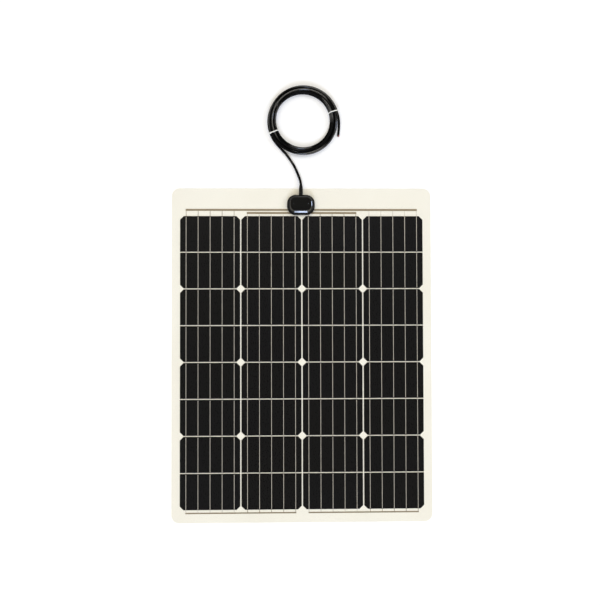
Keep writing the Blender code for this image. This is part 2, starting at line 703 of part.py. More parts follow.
def build_diode(name, side, black):
    """Axial bypass diode: a moulded body with a straight lead at each end."""
    half = DIODE_LENGTH / 2
    inner_lead = DIODE_X - SEAT_GAP / 2
    outer_lead = FORK_X + DIODE_LEAD_OVERRUN - DIODE_X
    profile = [
        (0.0, -inner_lead),
        (DIODE_LEAD_RADIUS, -inner_lead),
        (DIODE_LEAD_RADIUS, -half),
        (DIODE_RADIUS - DIODE_CHAMFER, -half),
        (DIODE_RADIUS, DIODE_CHAMFER - half),
        (DIODE_RADIUS, half - DIODE_CHAMFER),
        (DIODE_RADIUS - DIODE_CHAMFER, half),
        (DIODE_LEAD_RADIUS, half),
        (DIODE_LEAD_RADIUS, outer_lead),
        (0.0, outer_lead),
    ]
    diode = lathe(name, profile, DIODE_SIDES, black)
    diode.rotation_euler = (0.0, side * pi / 2, 0.0)
    diode.location = (side * DIODE_X, DIODE_Y, DIODE_Z)
    return diode


def build_core(name, side, insulation):
    """One insulated core from the sheath's end to its terminal plate."""
    land_z = TERMINAL_TOP + SEAT_GAP + CORE_RADIUS
    route = [Vector((side * x, SHEATH_END_Y + y, land_z + z)) for x, y, z in CORE_ROUTE]
    return tube(name, smooth_path(route, CORE_STEP), CORE_RADIUS, 2, insulation)


def build_sleeve(rubber):
    """Strain relief sleeve: a flange with two flats inside the wall and a tapered sleeve outside it."""
    bore = CABLE_RADIUS + SEAT_GAP
    flange_high = BOX_DEPTH / 2 - BOX_WALL - FLANGE_SETBACK
    flange_low = flange_high - FLANGE_THICKNESS
    profile = [
        (bore, flange_low),
        (FLANGE_RADIUS, flange_low),
        (FLANGE_RADIUS, flange_high),
        (SLEEVE_RADIUS, flange_high),
        (SLEEVE_RADIUS, SLEEVE_END_Y - SLEEVE_TAPER),
        (SLEEVE_TIP_RADIUS, SLEEVE_END_Y - SLEEVE_TIP_LAND),
        (SLEEVE_TIP_RADIUS - SLEEVE_TIP_CHAMFER, SLEEVE_END_Y),
        (bore, SLEEVE_END_Y),
    ]
    sleeve = lathe("strain_relief", profile, SLEEVE_SIDES, rubber)
    sleeve.data.transform(Matrix.Rotation(-pi / 2, 4, "X"))
    sleeve.data.transform(Matrix.Translation((0.0, 0.0, CABLE_Z)))
    reach = FLANGE_RADIUS + CUT_OVERRUN
    across = rectangle(-reach, reach, flange_low - CUT_OVERRUN, flange_high + WELD)
    combine(sleeve, plate("under", across, 0.0, FLOOR_TOP + SEAT_GAP, rubber), "DIFFERENCE")
    combine(sleeve, plate("over", across, CABLE_Z + FLANGE_FLAT, BOX_TOP, rubber), "DIFFERENCE")
    return sleeve


def build_junction_box(black, rubber, silicone, metal, insulations):
    """The box on the panel's face and everything inside it."""
    frame = make_empty("junction_box_frame", (BOX_X, BOX_Y, 0.0))
    pad = plate("junction_box_pad", box_outline(PAD_INSET), PAD_LOW, PAD_TOP, silicone)
    combine(pad, plate("slot", slot_outline(0.0, SLOT_Y), 0.0, BASE_LOW, silicone), "DIFFERENCE")
    seal_outer = box_outline(RIM_LAND + SEAT_GAP)
    seal_inner = box_outline(RIM_LAND + SEAT_GAP + LIP)
    seal = ring_plate("lid_seal", seal_outer, seal_inner, SEAL_LOW, SEAL_LOW + SEAL_HEIGHT, silicone)
    combine(seal, cable_notch(silicone), "DIFFERENCE")
    left_span = (-OUTER_TERMINAL[1], -OUTER_TERMINAL[0])
    pieces = [
        pad,
        build_box_base(black),
        build_box_lid(black),
        seal,
        build_terminal("terminal_left", left_span, [-FORK_X], metal),
        build_terminal("terminal_middle", MIDDLE_TERMINAL, [0.0], metal),
        build_terminal("terminal_right", OUTER_TERMINAL, [FORK_X], metal),
        build_diode("bypass_diode_left", -1, black),
        build_diode("bypass_diode_right", 1, black),
        build_core("core_left", -1, insulations[0]),
        build_core("core_right", 1, insulations[1]),
        build_sleeve(rubber),
    ]
    for piece in pieces:
        piece.parent = frame


def coil_place(angle, radius, height):
    """A point at an angle in degrees and a radius from the coil's middle."""
    x = COIL_CENTRE[0] + radius * cos(radians(angle))
    y = COIL_CENTRE[1] + radius * sin(radians(angle))
    return Vector((x, y, height))


def smooth_step(share):
    """Eases from 0 to 1 and holds outside that range."""
    share = min(max(share, 0.0), 1.0)
    return share * share * (3 - 2 * share)


def coil_lead_in():
    """The coil's straight first run: its start and the way it points."""
    angle = radians(COIL_START_ANGLE)
    tangent = Vector((sin(angle), -cos(angle), 0.0))
    start = coil_loops()[0]
    return start - tangent * COIL_LEAD_IN, tangent


def coil_loops():
    """Loop points: the lower layer spirals in, climbs where it reverses, and spirals out on top."""
    points = []
    for step in range(COIL_STEPS + 1):
        turn = (step - COIL_STEPS / 2) / STEPS_PER_LOOP
        radius = COIL_INNER_RADIUS + COIL_PITCH * (sqrt(turn ** 2 + REVERSAL_TURNS ** 2) - REVERSAL_TURNS)
        height = COIL_FLOOR_Z + LAYER_RISE * smooth_step(turn / CLIMB_TURNS + 0.5)
        leaving = smooth_step((step - TAIL_FIRST_STEP) / (COIL_STEPS - TAIL_FIRST_STEP))
        angle = COIL_START_ANGLE - step * 360 / STEPS_PER_LOOP
        points.append(coil_place(angle, radius, height - TAIL_DROP * leaving))
    return points


def coil_path():
    """The whole wound tube: straight lead-in, loops and the tail laid down beside them."""
    return [coil_lead_in()[0], *coil_loops(), *TAIL_ROUTE]


def lead_path():
    """The free lead: from the box over the floor to the coil's first run, square to its face."""
    start, tangent = coil_lead_in()
    route = [*LEAD_ROUTE, start - tangent * TUBE_SPACING, start - tangent * SEAT_GAP]
    return smooth_path(route, TUBE_SPACING)


def print_least_gap(path):
    """Measures on points how close the wound tube comes to itself, and prints it."""
    samples = []
    travelled = []
    total = 0.0
    for first, second in zip(path, path[1:]):
        length = (second - first).length
        count = max(1, round(length / GAP_SAMPLE))
        for step in range(count):
            samples.append(first.lerp(second, step / count))
            travelled.append(total + length * step / count)
        total += length
    places = np.array(samples)
    along = np.array(travelled)
    least = 1.0
    for index in range(len(places)):
        far = along > along[index] + GAP_SKIP
        if far.any():
            least = min(least, float(np.linalg.norm(places[far] - places[index], axis=1).min()))
    print(f"coil: length {total:.3f} m, least gap to itself {(least - 2 * CABLE_RADIUS) / MM:.2f} mm")


def strands_at(path, angle):
    """Where the wound tube crosses the half plane at an angle, as (radius, height) pairs."""
    out = Vector((cos(radians(angle)), sin(radians(angle)), 0.0))
    along = Vector((-out.y, out.x, 0.0))
    centre = Vector((*COIL_CENTRE, 0.0))
    strands = []
    for first, second in zip(path, path[1:]):
        side_first = (first - centre).dot(along)
        side_second = (second - centre).dot(along)
        if side_first * side_second > 0 or (first - centre).dot(out) < 0:
            continue
        point = first.lerp(second, side_first / (side_first - side_second))
        strands.append(((point - centre).dot(out), point.z))
    return strands


def outermost(strands, angle):
    """The strand that stands furthest out at an angle above the floor's plane."""
    return max(strands, key=lambda strand: strand[0] * cos(angle) + strand[1] * sin(angle))


def wrapped_outline(strands, clearance):
    """Closed outline of a band pulled round strands, at a clearance from their middles."""
    outline = []
    for step in range(TIE_OUTLINE_STEPS):
        angle = 2 * pi * (step + 0.5) / TIE_OUTLINE_STEPS
        radius, height = outermost(strands, angle)
        outline.append((radius + clearance * cos(angle), height + clearance * sin(angle)))
    return outline


def build_tie(side, path, nylon):
    """A cable tie pulled round the coil's strands, with its head and cut end on the outer side."""
    strands = strands_at(path, TIE_ANGLES[side])
    inner = wrapped_outline(strands, CABLE_RADIUS + SEAT_GAP)
    outer = wrapped_outline(strands, CABLE_RADIUS + SEAT_GAP + TIE_THICKNESS)
    tie = band(f"cable_tie_{side}", outer, inner, TIE_WIDTH, nylon)

    lean = radians(TIE_HEAD_LEAN)
    pull = Vector((cos(lean), 0.0, sin(lean)))
    rise = Vector((-sin(lean), 0.0, cos(lean)))
    radius, height = outermost(strands, lean)
    foot = Vector((radius, 0.0, height)) + pull * (CABLE_RADIUS + SEAT_GAP + TIE_THICKNESS / 2)
    depth, width, length = TIE_HEAD
    head_low = foot - rise * length / 2
    stub_low = foot + pull * TIE_STUB_LIFT + rise * (length / 2 - TIE_STUB_SINK)
    combine(tie, leaning_block(head_low, width, pull * depth, rise * length, nylon), "UNION")
    stub = leaning_block(stub_low, TIE_STUB_WIDTH, pull * TIE_THICKNESS, rise * TIE_STUB_LENGTH, nylon)
    combine(tie, stub, "UNION")
    tie.location = (*COIL_CENTRE, 0.0)
    tie.rotation_euler = (0.0, 0.0, radians(TIE_ANGLES[side]))


def band(name, outer, inner, width, material):
    """A closed band between two (x, z) outlines, centred on y = 0."""
    bm = bmesh.new()
    loops = []
    for outline, y in ((outer, -width / 2), (outer, width / 2), (inner, width / 2), (inner, -width / 2)):
        loops.append([bm.verts.new((x, y, z)) for x, z in outline])
    bridge(bm, loops)
    return make_object(name, bm, material)


def leaning_block(low, width, depth, rise, material):
    """A block on a leaning face, centred on y = 0: its lowest inner edge, width, depth and rise."""
    side = Vector((0.0, width / 2, 0.0))
    bm = bmesh.new()
    add_prism(bm, [low - side, low + side, low + side + rise, low - side + rise], depth)
    return make_object("block", bm, material)


def build_core_end(name, side, insulation):
    """One core's cut end at the tail, standing just out of the sheath."""
    end = TAIL_ROUTE[-1]
    way = (end - TAIL_ROUTE[-2]).normalized()
    across = way.cross(Vector((0, 0, 1))).normalized()
    start = end + way * SEAT_GAP + across * side * CORE_SPACING / 2
    tube(name, [start, start + way * CORE_END_LENGTH], CORE_RADIUS, 2, insulation)


def build_cable(black, nylon, insulations):
    """The free lead, the wound coil with its tail, the ties and the cut cores."""
    path = coil_path()
    tube("cable_lead", lead_path(), CABLE_RADIUS, 3, black)
    tube("cable_coil", path, CABLE_RADIUS, 1, black)
    for side in TIE_ANGLES:
        build_tie(side, path, nylon)
    build_core_end("core_end_red", -1, insulations[0])
    build_core_end("core_end_black", 1, insulations[1])
    print_least_gap(path)


def main():
    """Builds the whole panel."""
    for obj in list(bpy.data.objects):
        bpy.data.objects.remove(obj)
    white = make_material("white_laminate", srgb(245, 242, 230), 0.45)
    clear = make_material("clear_encapsulant", srgb(246, 244, 236), 0.3, alpha=0.05)
    film = make_material("front_film", srgb(246, 243, 232), 0.35, alpha=0.08)
    silicon = make_material("mono_silicon", srgb(30, 29, 28), 0.3)
    tinned = make_material("tinned_copper", srgb(150, 140, 121), 0.35, 1.0)
    black = make_material("black_housing", srgb(28, 28, 26), 0.35)
    rubber = make_material("black_rubber", srgb(22, 22, 22), 0.55)
    silicone = make_material("grey_silicone", srgb(90, 90, 88), 0.6)
    sheath = make_material("cable_sheath", srgb(30, 30, 31), 0.4)
    nylon = make_material("white_nylon", srgb(240, 240, 236), 0.45)
    red = make_material("red_insulation", srgb(170, 35, 30), 0.45)
    dark = make_material("black_insulation", srgb(25, 25, 25), 0.45)

    build_laminate(white, clear, film)
    for row in range(ROWS):
        for column in range(COLUMNS):
            build_cell(row, column, silicon)
    build_buses(tinned)
    build_junction_box(black, rubber, silicone, tinned, (red, dark))
    build_cable(sheath, nylon, (red, dark))


main()
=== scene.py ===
"""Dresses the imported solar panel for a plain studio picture.

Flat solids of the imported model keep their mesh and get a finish. Round, wound and see-through ones are
rebuilt finer in the same place. Sizes are in metres in the panel's frame: X across it, +Y to the edge with
the junction box, +Z out of the face with the cells.
"""

from __future__ import annotations

import json
import logging
from dataclasses import dataclass, field
from enum import Enum
from math import cos, pi, radians, sin, sqrt
from typing import Any, ClassVar, Mapping, Sequence, Union

import bmesh
import bpy
from mathutils import Matrix, Vector

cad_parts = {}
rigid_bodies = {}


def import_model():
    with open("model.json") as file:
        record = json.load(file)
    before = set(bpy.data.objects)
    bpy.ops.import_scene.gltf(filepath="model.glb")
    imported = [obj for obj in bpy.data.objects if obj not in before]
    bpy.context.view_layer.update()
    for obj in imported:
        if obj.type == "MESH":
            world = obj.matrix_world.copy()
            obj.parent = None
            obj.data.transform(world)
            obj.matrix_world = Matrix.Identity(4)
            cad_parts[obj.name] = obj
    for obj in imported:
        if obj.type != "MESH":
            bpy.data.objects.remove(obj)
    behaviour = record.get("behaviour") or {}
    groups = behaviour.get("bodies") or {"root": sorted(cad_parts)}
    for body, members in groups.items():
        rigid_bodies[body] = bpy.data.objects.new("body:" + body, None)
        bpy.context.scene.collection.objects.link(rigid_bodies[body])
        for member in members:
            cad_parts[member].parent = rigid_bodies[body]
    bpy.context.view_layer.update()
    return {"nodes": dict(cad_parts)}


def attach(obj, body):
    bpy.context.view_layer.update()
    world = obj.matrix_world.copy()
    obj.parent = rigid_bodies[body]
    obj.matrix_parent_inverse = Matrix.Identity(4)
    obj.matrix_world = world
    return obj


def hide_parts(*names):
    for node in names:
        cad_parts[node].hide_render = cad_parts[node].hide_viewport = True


LOG = logging.getLogger("solar_panel")
MM = 0.001
NOISE_MIDDLE = 0.5
NO_DETAIL = 0.0
CLOUD_DETAIL = 3.0
EVEN = (1.0, 1.0, 1.0)
STREAKS_ALONG_X = (0.04, 1.0, 1.0)
STREAKS_ALONG_Y = (1.0, 0.05, 1.0)
COIL_CENTRE = (4.4 * MM, 613.06 * MM)
Number = Union["Wire", float]
Colour = tuple[float, float, float, float]
Outline = list[tuple[float, float]]
Ring = list[tuple[float, float, float]]
Steps = tuple[tuple[float, float], ...]


class Body(str, Enum):
    """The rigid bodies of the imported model."""

    PANEL = "panel"
    LID = "lid"


class Side(Enum):
    """Left or right of the panel's middle, as the sign of X."""

    LEFT = -1
    RIGHT = 1

    @property
    def word(self) -> str:
        """The side's name as nodes spell it."""
        return self.name.lower()


def srgb(red: float, green: float, blue: float) -> Colour:
    """Turns a colour of 0 to 255 per channel into Blender's linear values.

    Args:
        red: Red level.
        green: Green level.
        blue: Blue level.

    Returns:
        The linear colour with full alpha.
    """
    linear = []
    for level in (red, green, blue):
        share = level / 255
        linear.append(share / 12.92 if share <= 0.04045 else ((share + 0.055) / 1.055) ** 2.4)
    return (linear[0], linear[1], linear[2], 1.0)


class Wire:
    """A socket in a node tree that joins in Python expressions: each operator adds a Math node."""

    def __init__(self, graph: Graph, socket: bpy.types.NodeSocket) -> None:
        """Keeps the socket and the graph it belongs to."""
        self.graph = graph
        self.socket = socket

    def math(self, operation: str, *others: Number) -> Wire:
        """Adds a Math node with this value first and the others after it."""
        return self.graph.math(operation, self, *others)

    def __add__(self, other: Number) -> Wire:
        """Sum."""
        return self.math("ADD", other)

    def __radd__(self, other: Number) -> Wire:
        """Sum with a number on the left."""
        return self.math("ADD", other)

    def __sub__(self, other: Number) -> Wire:
        """Difference."""
        return self.math("SUBTRACT", other)

    def __rsub__(self, other: Number) -> Wire:
        """Difference from a number on the left."""
        return self.graph.math("SUBTRACT", other, self)

    def __mul__(self, other: Number) -> Wire:
        """Product."""
        return self.math("MULTIPLY", other)

    def __rmul__(self, other: Number) -> Wire:
        """Product with a number on the left."""
        return self.math("MULTIPLY", other)

    def __truediv__(self, other: Number) -> Wire:
        """Quotient."""
        return self.math("DIVIDE", other)

    def __rtruediv__(self, other: Number) -> Wire:
        """Quotient of a number on the left."""
        return self.graph.math("DIVIDE", other, self)

    def __pow__(self, other: Number) -> Wire:
        """Power."""
        return self.math("POWER", other)

    def __mod__(self, other: Number) -> Wire:
        """Remainder that is never negative."""
        return self.math("FLOORED_MODULO", other)

    def __lt__(self, other: Number) -> Wire:
        """1 where this value is lower, else 0."""
        return self.math("LESS_THAN", other)

    def __gt__(self, other: Number) -> Wire:
        """1 where this value is higher, else 0."""
        return self.math("GREATER_THAN", other)

    def __abs__(self) -> Wire:
        """Size without its sign."""
        return self.math("ABSOLUTE")

    def rise(self, low: float, high: float) -> Wire:
        """0 up to low, 1 from high on, and a straight climb in between."""
        return ((self - low) / (high - low)).math("MINIMUM", 1.0).math("MAXIMUM", 0.0)


class Graph:
    """A node tree that is built from expressions."""

    def __init__(self, tree: bpy.types.NodeTree) -> None:
        """Empties the tree."""
        self.tree = tree
        tree.nodes.clear()

    def node(
        self,
        kind: str,
        settings: Mapping[str, Any] | None = None,
        sockets: Mapping[str | int, Any] | None = None,
        out: str | int = 0,
    ) -> Wire:
        """Adds one node.

        Args:
            kind: The node's type.
            settings: Properties set before the sockets; "stops" holds a colour ramp's (place, colour) pairs.
            sockets: Values or wires by socket name or number.
            out: The output to return.

        Returns:
            The chosen output.
        """
        node = self.tree.nodes.new(kind)
        for name, value in (settings or {}).items():
            if name != "stops":
                setattr(node, name, value)
                continue
            for index, (place, colour) in enumerate(value):
                elements = node.color_ramp.elements
                element = elements[index] if index < 2 else elements.new(place)
                element.position = place
                element.color = colour
        for key, value in (sockets or {}).items():
            if isinstance(value, Wire):
                self.tree.links.new(value.socket, node.inputs[key])
            else:
                node.inputs[key].default_value = value
        return Wire(self, node.outputs[out] if len(node.outputs) else None)

    def math(self, operation: str, *values: Number) -> Wire:
        """Adds a Math node on values in order."""
        return self.node("ShaderNodeMath", {"operation": operation}, dict(enumerate(values)))

    def place(self) -> Wire:
        """The piece's own coordinates in metres."""
        return self.node("ShaderNodeTexCoord", out="Object")

    def axes(self, vector: Wire) -> tuple[Wire, Wire, Wire]:
        """The three parts of a vector."""
        return tuple(self.node("ShaderNodeSeparateXYZ", None, {0: vector}, out=axis) for axis in range(3))

    def noise(
        self,
        scale: float,
        detail: float = 2.0,
        stretch: Sequence[float] = EVEN,
        place: Wire | None = None,
    ) -> Wire:
        """Smooth noise from 0 to 1.

        Args:
            scale: Cycles per unit of the place, which is a metre unless one is given.
            detail: Octaves of finer noise.
            stretch: Factor on each axis, so that streaks can be drawn out.
            place: Where the noise is read, the piece's own coordinates if left out.

        Returns:
            The noise value.
        """
        read_at = self.place() if place is None else place
        scaled = self.node(
            "ShaderNodeVectorMath", {"operation": "MULTIPLY"}, {0: read_at, 1: tuple(stretch)}
        )
        sockets = {"Vector": scaled, "Scale": scale, "Detail": detail}
        return self.node("ShaderNodeTexNoise", None, sockets, "Fac")

    def mix(self, share: Number, first: Wire | Colour, second: Wire | Colour) -> Wire:
        """A colour between two others: the first at a share of 0, the second at a share of 1."""
        return self.node("ShaderNodeMix", {"data_type": "RGBA"}, {0: share, 6: first, 7: second}, out=2)

    def bump(self, height: Wire, depth: float, under: Wire | None = None) -> Wire:
        """A normal raised by a height field.

        Args:
            height: Height from 0 to 1.
            depth: What a height of 1 stands for, in metres.
            under: A normal that the height is added to, if any.

        Returns:
            The normal.
        """
        sockets = {"Strength": 1.0, "Distance": depth, "Height": height}
        if under is not None:
            sockets["Normal"] = under
        return self.node("ShaderNodeBump", None, sockets, "Normal")

    def principled(self, sockets: Mapping[str | int, Any]) -> Wire:
        """Adds a Principled shader."""
        return self.node("ShaderNodeBsdfPrincipled", None, sockets)

    def surface(self, shader: Wire) -> None:
        """Shows a shader on the surface."""
        self.node("ShaderNodeOutputMaterial", None, {"Surface": shader})


@dataclass(frozen=True)
class Finish:
    """A surface finish: one material with detail from its nodes."""

    made: ClassVar[dict[str, bpy.types.Material]] = {}

    name: str

    def material(self) -> bpy.types.Material:
        """The finish's material, made once and kept apart from the solids' own plain materials.

        Returns:
            The material.
        """
        if self.name not in self.made:
            fresh = bpy.data.materials.new(self.name)
            fresh.use_nodes = True
            self.draw(Graph(fresh.node_tree))
            self.made[self.name] = fresh
        return self.made[self.name]

    def draw(self, graph: Graph) -> None:
        """Fills the material's node tree."""
        raise NotImplementedError

    def put_on(self, piece: bpy.types.Object) -> None:
        """Gives a piece this finish alone."""
        piece.data.materials.clear()
        piece.data.materials.append(self.material())


@dataclass(frozen=True)
class WhiteSheet(Finish):
    """Cream white laminate with a faint cloudiness and a fine woven back."""

    pale: Colour = srgb(248, 245, 233)
    deep: Colour = srgb(243, 239, 225)
    tint: float = 0.35
    cloud_scale: float = 5.0
    cloud_tint: float = 2.2
    grain_scale: float = 1400.0
    grain_tint: float = 0.3
    grain_height: float = 0.5
    rough: float = 0.36
    grain_rough: float = 0.16
    refraction: float = 1.45
    thread: float = 1.1 * MM
    thread_height: float = 0.25
    relief: float = 0.02 * MM

    def draw(self, graph: Graph) -> None:
        """Mixes two creams by a slow cloud, with a fine grain and a woven relief.

        Args:
            graph: The material's empty node tree.
        """
        x, y, _ = graph.axes(graph.place())
        turn = 2 * pi / self.thread
        weave = (x * turn).math("SINE") * (y * turn).math("SINE")
        grain = graph.noise(self.grain_scale)
        cloud = graph.noise(self.cloud_scale, CLOUD_DETAIL)
        tint = (cloud - NOISE_MIDDLE) * self.cloud_tint + grain * self.grain_tint + self.tint
        height = (weave + 1) * self.thread_height + grain * self.grain_height
        shader = graph.principled({
            "Base Color": graph.mix(tint, self.deep, self.pale),
            "Roughness": grain * self.grain_rough + self.rough,
            "IOR": self.refraction,
            "Normal": graph.bump(height, self.relief),
        })
        graph.surface(shader)


@dataclass(frozen=True)
class ClearFilm(Finish):
    """Clear embossed front film: see-through, with a soft gloss that grows at a slant."""

    head_on: float = 0.018
    slant_power: int = 5
    even_blend: float = 0.5
    roughness: float = 0.16
    dimple_scale: float = 620.0
    dimple_smoothness: float = 0.6
    dimple_height: float = 0.7
    ripple_scale: float = 300.0
    ripple_height: float = 0.3
    relief: float = 0.006 * MM

    def draw(self, graph: Graph) -> None:
        """Mixes a clear shader with a glossy one by how slanted the view is.

        Args:
            graph: The material's empty node tree.
        """
        dimples = graph.node(
            "ShaderNodeTexVoronoi",
            {"feature": "SMOOTH_F1"},
            {"Vector": graph.place(), "Scale": self.dimple_scale, "Smoothness": self.dimple_smoothness},
            "Distance",
        )
        height = dimples * self.dimple_height + graph.noise(self.ripple_scale) * self.ripple_height
        slant = graph.node("ShaderNodeLayerWeight", None, {"Blend": self.even_blend}, "Facing")
        front = 1 - graph.node("ShaderNodeNewGeometry", out="Backfacing")
        mirror = (slant ** self.slant_power * (1 - self.head_on) + self.head_on) * front
        clear = graph.node("ShaderNodeBsdfTransparent")
        gloss = graph.node(
            "ShaderNodeBsdfGlossy",
            None,
            {"Roughness": self.roughness, "Normal": graph.bump(height, self.relief)},
        )
        graph.surface(graph.node("ShaderNodeMixShader", None, {0: mirror, 1: clear, 2: gloss}))


@dataclass(frozen=True)
class SiliconCell(Finish):
    """Dark coated wafer with fine printed fingers, and tinned ribbons soldered along it."""

    wafer: Colour = srgb(12, 11, 10)
    wafer_cool: Colour = srgb(11, 11, 13)
    wafer_tint: float = 0.7
    wafer_rough: float = 0.45
    bloom_scale: float = 9.0
    bloom_tint: float = 0.3
    finger: Colour = srgb(44, 44, 44)
    finger_cover: float = 0.8
    ribbon: Colour = srgb(222, 216, 204)
    ribbon_dull: Colour = srgb(196, 190, 178)
    ribbon_metal: float = 0.3
    ribbon_rough: float = 0.25
    streak_scale: float = 900.0
    streak_rough: float = 0.2
    streak_relief: float = 0.02 * MM
    shine: float = 0.05
    wafer_middle: float = 1.79 * MM
    wafer_half: float = 0.098 * MM
    column_pitch: float = 160 * MM
    row_pitch: float = 96 * MM
    first_row_top: float = 363.3 * MM
    ribbon_pitch: float = 31.35 * MM
    ribbon_half: float = 0.62 * MM
    finger_pitch: float = 1.55 * MM
    finger_half: float = 0.03 * MM

    def draw(self, graph: Graph) -> None:
        """Draws fingers across the wafer, then ribbons along it, from the cell's own grid.

        Args:
            graph: The material's empty node tree.
        """
        x, y, z = graph.axes(graph.place())
        across = x % self.column_pitch - self.column_pitch / 2
        from_ribbon = abs((across + self.ribbon_pitch / 2) % self.ribbon_pitch - self.ribbon_pitch / 2)
        ribbon = (from_ribbon < self.ribbon_half) * (abs(z - self.wafer_middle) > self.wafer_half)
        finger = abs(y % self.finger_pitch - self.finger_pitch / 2) < self.finger_half
        column = (x / self.column_pitch).math("FLOOR")
        row = ((self.first_row_top - y) / self.row_pitch).math("FLOOR")
        index = graph.node("ShaderNodeCombineXYZ", None, {0: column, 1: row})
        own = graph.node("ShaderNodeTexWhiteNoise", {"noise_dimensions": "2D"}, {"Vector": index}, "Value")
        tint = own * self.wafer_tint + graph.noise(self.bloom_scale, CLOUD_DETAIL) * self.bloom_tint
        wafer = graph.mix(tint, self.wafer, self.wafer_cool)
        printed = graph.mix(finger * self.finger_cover, wafer, self.finger)
        streak = graph.noise(self.streak_scale, CLOUD_DETAIL, STREAKS_ALONG_Y)
        solder = graph.mix(streak, self.ribbon_dull, self.ribbon)
        ribbon_rough = streak * self.streak_rough + self.ribbon_rough
        shader = graph.principled({
            "Base Color": graph.mix(ribbon, printed, solder),
            "Metallic": ribbon * self.ribbon_metal,
            "Roughness": ribbon * ribbon_rough + (1 - ribbon) * self.wafer_rough,
            "Specular IOR Level": self.shine,
            "Normal": graph.bump(streak * ribbon, self.streak_relief),
        })
        graph.surface(shader)


@dataclass(frozen=True)
class Metal(Finish):
    """Drawn or poured metal with streaks along one axis."""

    bright: Colour
    dull: Colour
    rough: float
    streak_scale: float = 700.0
    stretch: tuple[float, float, float] = STREAKS_ALONG_X
    metallic: float = 1.0
    relief: float = 0.015 * MM
    streak_tint: float = 0.6
    streak_rough: float = 0.18
    cloud_scale: float = 60.0
    cloud_tint: float = 0.4
    cloud_rough: float = 0.1

    def draw(self, graph: Graph) -> None:
        """Mixes bright and dull metal along the streaks.

        Args:
            graph: The material's empty node tree.
        """
        streak = graph.noise(self.streak_scale, CLOUD_DETAIL, self.stretch)
        cloud = graph.noise(self.cloud_scale, CLOUD_DETAIL)
        tint = streak * self.streak_tint + cloud * self.cloud_tint
        shader = graph.principled({
            "Base Color": graph.mix(tint, self.dull, self.bright),
            "Metallic": self.metallic,
            "Roughness": streak * self.streak_rough + cloud * self.cloud_rough + self.rough,
            "Normal": graph.bump(streak, self.relief),
        })
        graph.surface(shader)


@dataclass(frozen=True)
class Moulding(Finish):
    """Moulded or extruded polymer with a fine grain and slightly uneven colour."""

    colour: Colour
    shade: Colour
    rough: float
    grain_scale: float = 2600.0
    relief: float = 0.02 * MM
    shine: float = 0.5
    grain_tint: float = 0.3
    grain_rough: float = 0.14
    cloud_scale: float = 55.0
    cloud_tint: float = 0.7
    cloud_rough: float = 0.08
    unevenness: float = 0.1

    def draw(self, graph: Graph) -> None:
        """Mixes two shades by noise, with a fine grain.

        Args:
            graph: The material's empty node tree.
        """
        grain = graph.noise(self.grain_scale)
        cloud = graph.noise(self.cloud_scale, CLOUD_DETAIL)
        tint = cloud * self.cloud_tint + grain * self.grain_tint
        smoothest = self.rough - self.unevenness
        shader = graph.principled({
            "Base Color": graph.mix(tint, self.shade, self.colour),
            "Roughness": grain * self.grain_rough + cloud * self.cloud_rough + smoothest,
            "Specular IOR Level": self.shine,
            "Normal": graph.bump(grain, self.relief),
        })
        graph.surface(shader)


@dataclass(frozen=True)
class CableSheath(Finish):
    """Black cable sheath: scuffed matte, with the gloss left in long streaks along the coil's loops.

    The gloss ends over the span of the coil's edge, as distances from the coil's middle.
    """

    colour: Colour = srgb(8, 8, 8)
    shade: Colour = srgb(5, 5, 5)
    rough: float = 0.3
    shine: float = 0.04
    grain_scale: float = 1800.0
    grain_tint: float = 0.3
    grain_rough: float = 0.14
    cloud_scale: float = 55.0
    cloud_tint: float = 0.7
    relief: float = 0.003 * MM
    wave_scale: float = 30.0
    wave_detail: float = 1.0
    wave: float = 0.12 * MM
    coil_edge: tuple[float, float] = (100 * MM, 130 * MM)
    streak_width: float = 7.1 * MM
    streaks_round: float = 1.0
    gloss_sets_in: tuple[float, float] = (0.46, 0.6)
    gloss_rough: float = 0.15
    gloss_refraction: float = 1.65

    def draw(self, graph: Graph) -> None:
        """Lays the gloss by noise that is drawn out round the coil, over a grain and a slow waviness.

        Args:
            graph: The material's empty node tree.
        """
        x, y, _ = graph.axes(graph.place())
        out_x = x - COIL_CENTRE[0]
        out_y = y - COIL_CENTRE[1]
        radius = (out_x * out_x + out_y * out_y).math("SQRT")
        polar = {
            0: out_x / radius * self.streaks_round,
            1: out_y / radius * self.streaks_round,
            2: radius / self.streak_width,
        }
        streak = graph.noise(1.0, NO_DETAIL, place=graph.node("ShaderNodeCombineXYZ", None, polar))
        grain = graph.noise(self.grain_scale)
        cloud = graph.noise(self.cloud_scale, CLOUD_DETAIL)
        tint = cloud * self.cloud_tint + grain * self.grain_tint
        fine = graph.bump(grain, self.relief)
        shader = graph.principled({
            "Base Color": graph.mix(tint, self.shade, self.colour),
            "Roughness": grain * self.grain_rough + self.rough,
            "Specular IOR Level": self.shine,
            "Coat Weight": streak.rise(*self.gloss_sets_in) * (1 - radius.rise(*self.coil_edge)),
            "Coat Roughness": self.gloss_rough,
            "Coat IOR": self.gloss_refraction,
            "Normal": graph.bump(graph.noise(self.wave_scale, self.wave_detail), self.wave, fine),
        })
        graph.surface(shader)


